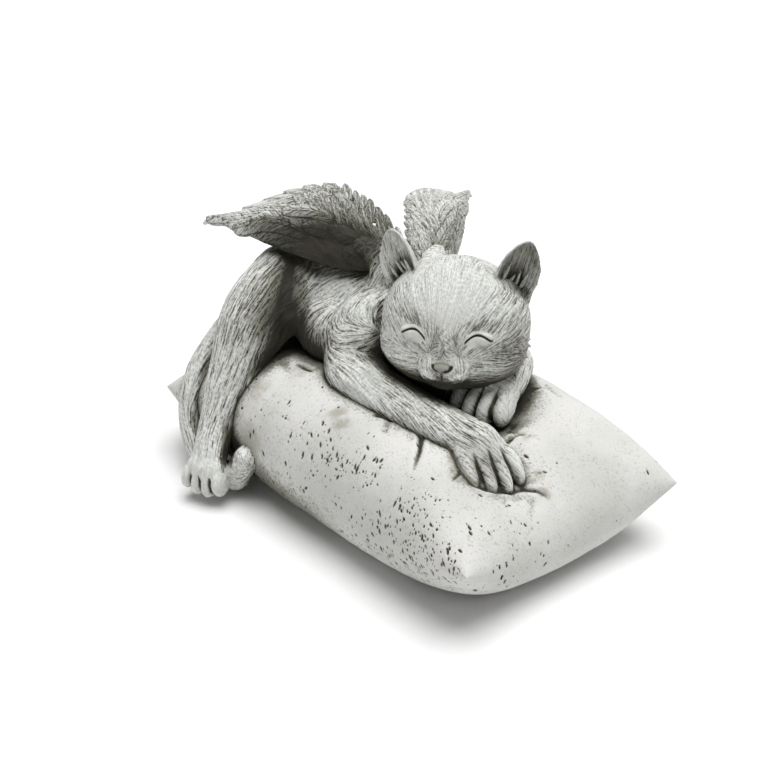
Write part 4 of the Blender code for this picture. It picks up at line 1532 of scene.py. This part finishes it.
def feathers(side):
    """All the feathers of one wing, laid flat by the node tree and wrapped on the wing."""
    places, turns, reaches = [], [], []
    for start, end, half, lift in FEATHERS[side]:
        root, line = feather_line(start, end)
        length = np.hypot(*line)
        places.append((*root, 0))
        turns.append((0, -np.arctan2(lift * 0.001, length), np.arctan2(line[1], line[0])))
        reaches.append((length, half * 0.001, 1))
    laid = lay_copies(feather_form(), places, turns, reaches)
    flat = read(laid.data.vertices, "co", 3)
    laid.data.vertices.foreach_set("co", on_wing(side, *flat.T).ravel())
    with worked(laid.data) as form:
        bmesh.ops.recalc_face_normals(form, faces=form.faces)
    return laid


def wing_places(points, side):
    """Flat-wing places, height, distance off the wing, and the flat axes there, for each place."""
    s, t = np.meshgrid(np.linspace(-0.05, 1.02, 141), np.linspace(-0.30, 1.15, 61), indexing="ij")
    x = s.ravel() * SPAN
    y = t.ravel() * chord_length(s.ravel())
    sheet = on_wing(side, x, y, 0) * 1000
    raised = on_wing(side, x, y, 0.001) * 1000 - sheet
    tree = tree_of(sheet)
    found = np.array([tree.find(point)[1] for point in points])
    gap = points - sheet[found]
    ahead = on_wing(side, x[found] + 0.001, y[found], 0) * 1000 - sheet[found]
    down = on_wing(side, x[found], y[found] + 0.001, 0) * 1000 - sheet[found]
    lift = np.sum(gap * raised[found], axis=1)
    flat_x = x[found] * 1000 + np.sum(gap * ahead, axis=1)
    flat_y = y[found] * 1000 + np.sum(gap * down, axis=1)
    return flat_x, flat_y, lift, ahead, down, t.ravel()[found]


def on_feathers(flat_x, flat_y, side):
    """The topmost feather at each flat place: shares of its length and half width, its own way."""
    share = np.full((len(flat_x), 2), -1.0)
    way = np.tile((1.0, 0.15), (len(flat_x), 1))
    top = np.full(len(flat_x), -1e9)
    for start, end, half, lift in FEATHERS[side]:
        root, line = feather_line(start, end)
        length = np.hypot(*line) * 1000
        onward = line / np.hypot(*line)
        dx = flat_x - root[0] * 1000
        dy = flat_y - root[1] * 1000
        f = (dx * onward[0] + dy * onward[1]) / length
        a = (dy * onward[0] - dx * onward[1]) / half / feather_half(np.clip(f, 0, 1))
        crown = lift * f + 1.4 * (1 - np.clip(a, -1, 1) ** 2)
        covers = (f > 0) & (f < 1) & (np.abs(a) < 1) & (crown > top)
        top[covers] = crown[covers]
        share[covers] = np.stack([f, a], axis=1)[covers]
        barb = onward + np.array((-onward[1], onward[0])) * (BARB_LEAN * np.sign(a))[:, None]
        way[covers] = barb[covers]
    return share, way


wing_parts = [form for side in SIDES for form in (blade(side), feathers(side))]
wings = fuse("wings", wing_parts, WING_VOXEL, smoothing=1)
places, normals = places_of(wings.data)
middles = [on_wing(side, 0.4 * SPAN, 0.015, 0) * 1000 for side in SIDES]
nearer = [length_of(places - middle) for middle in middles]
flow = np.zeros((len(places), 3))
feather_mark = np.zeros(len(places))
below = np.zeros(len(places))
rooted = np.zeros(len(places))
midway = np.zeros(len(places))
for side, mine in zip(SIDES, (nearer[0] <= nearer[1], nearer[0] > nearer[1])):
    flat_x, flat_y, lift, ahead, down, t = wing_places(places[mine], side)
    share, way = on_feathers(flat_x, flat_y, side)
    flow[mine] = ahead * way[:, :1] + down * way[:, 1:]
    outer = (share[:, 0] >= 0) & (lift > 0.3)
    a = np.abs(share[:, 1])
    quill = bell(a - 0.16, 0.06) * 0.30
    rim = ramp(a, 0.86, 1.0) * 0.45 + ramp(share[:, 0], 0.93, 1.0) * 0.25
    feather_mark[mine] = np.where(outer, quill + rim, 0)
    along = flat_x / (SPAN * 1000)
    start = 0.02 + 0.40 * ramp(along, 0.1, 0.6)
    # Painted shade: the near wing is darkened near its root, midway along and over its lower half, which
    # faces down out of the light.
    rooted[mine] = ramp(along, 0.50, 0.05) * (1 if side < 0 else 0.2)
    midway[mine] = (side < 0) * bell(along - 0.42, 0.22)
    below[mine] = ramp(t, start, start + 0.4) * ramp(along, 0.85, 0.5) * (1 if side < 0 else 0.35)
flow -= normals * np.sum(flow * normals, axis=1)[:, None]
flow /= np.maximum(length_of(flow), 1e-6)[:, None]
relief, barb_dark = carve_coat(places, flow, FEATHER_CUT, FEATHER_STROKE)
cut_in = np.clip(feather_mark, 0, 0.45)
places += normals * (relief - RIM_CUT * cut_in)[:, None]
move_to(wings.data, places)
places, normals, near_shade, far_shade, hollow = shades(wings.data, softening=5, breadth=8)
# The stored mark is the dark wash and painted shade together, most on the near wing's lower half and root.
grime = mix_wash(WING_WASH, near=near_shade, far=past(far_shade, 0.14),
                 hollow=np.clip(hollow, -0.2, 0.5), under=underside(normals), rim=feather_mark,
                 barb=barb_dark, below=below, rooted=rooted, midway=midway)
keep_marks(wings.data, flow=flow, grime=grime, fur=np.full(len(places), 0.85))
thin(wings)
wings.data.shade_smooth()
finish_with(wings, hair_stone("feather_stone", BARBS))
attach(wings, "root")
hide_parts("angel_cat_statue")

# ------------------------------------------------------------------- the stage
# A pale matt floor that runs on to the far edge of the view, one broad soft light overhead, and
# an even pale light from all sides that fills the shade.
FLOOR_SIZE = 6.0
LIGHT_FROM = (0.05, 0.10, 1.0)
LIGHT_SPREAD = 52          # degrees that the light's source spans
LIGHT_STRENGTH = 3.2
SKY_STRENGTH = 0.25
floor_form = bmesh.new()
bmesh.ops.create_grid(floor_form, x_segments=1, y_segments=1, size=FLOOR_SIZE)
bmesh.ops.translate(floor_form, vec=(0, 0, floor_height), verts=floor_form.verts)
floor = object_from_bmesh("floor", floor_form)
floor_paint = bpy.data.materials.new("pale_floor")
floor_paint.use_nodes = True
floor_shader = floor_paint.node_tree.nodes["Principled BSDF"].inputs
floor_shader["Base Color"].default_value = (0.9, 0.9, 0.9, 1)
floor_shader["Roughness"].default_value = 0.9
floor.data.materials.append(floor_paint)

world = bpy.data.worlds.new("studio")
bpy.context.scene.world = world
world.use_nodes = True
sky = world.node_tree.nodes["Background"].inputs
sky["Color"].default_value = (1, 1, 1, 1)
sky["Strength"].default_value = SKY_STRENGTH

light = bpy.data.lights.new("overhead softbox", "SUN")
light.angle = radians(LIGHT_SPREAD)
light.energy = LIGHT_STRENGTH
light_holder = new_object("overhead softbox", light)
light_holder.rotation_euler = Vector(LIGHT_FROM).to_track_quat("Z", "Y").to_euler()
bpy.context.scene.view_settings.view_transform = "Standard"

VIEW_TURN = radians(50.1)
VIEW_RISE = radians(29.4)
VIEW_DISTANCE = 1.05
VIEW_LENS = 75.14          # focal length in millimetres, on a film 36 mm wide
VIEW_AIM = Vector((-0.0237, 0.0044, 0.060))
back = Vector((sin(VIEW_TURN) * cos(VIEW_RISE), -cos(VIEW_TURN) * cos(VIEW_RISE), sin(VIEW_RISE)))
right = Vector((cos(VIEW_TURN), sin(VIEW_TURN), 0))
up = back.cross(right)
lens = bpy.data.cameras.new("camera")
lens.sensor_width = 36
lens.lens = VIEW_LENS
camera = new_object("camera", lens)
facing = Matrix((right, up, back)).transposed().to_4x4()
camera.matrix_world = Matrix.Translation(VIEW_AIM + back * VIEW_DISTANCE) @ facing
bpy.context.scene.camera = camera
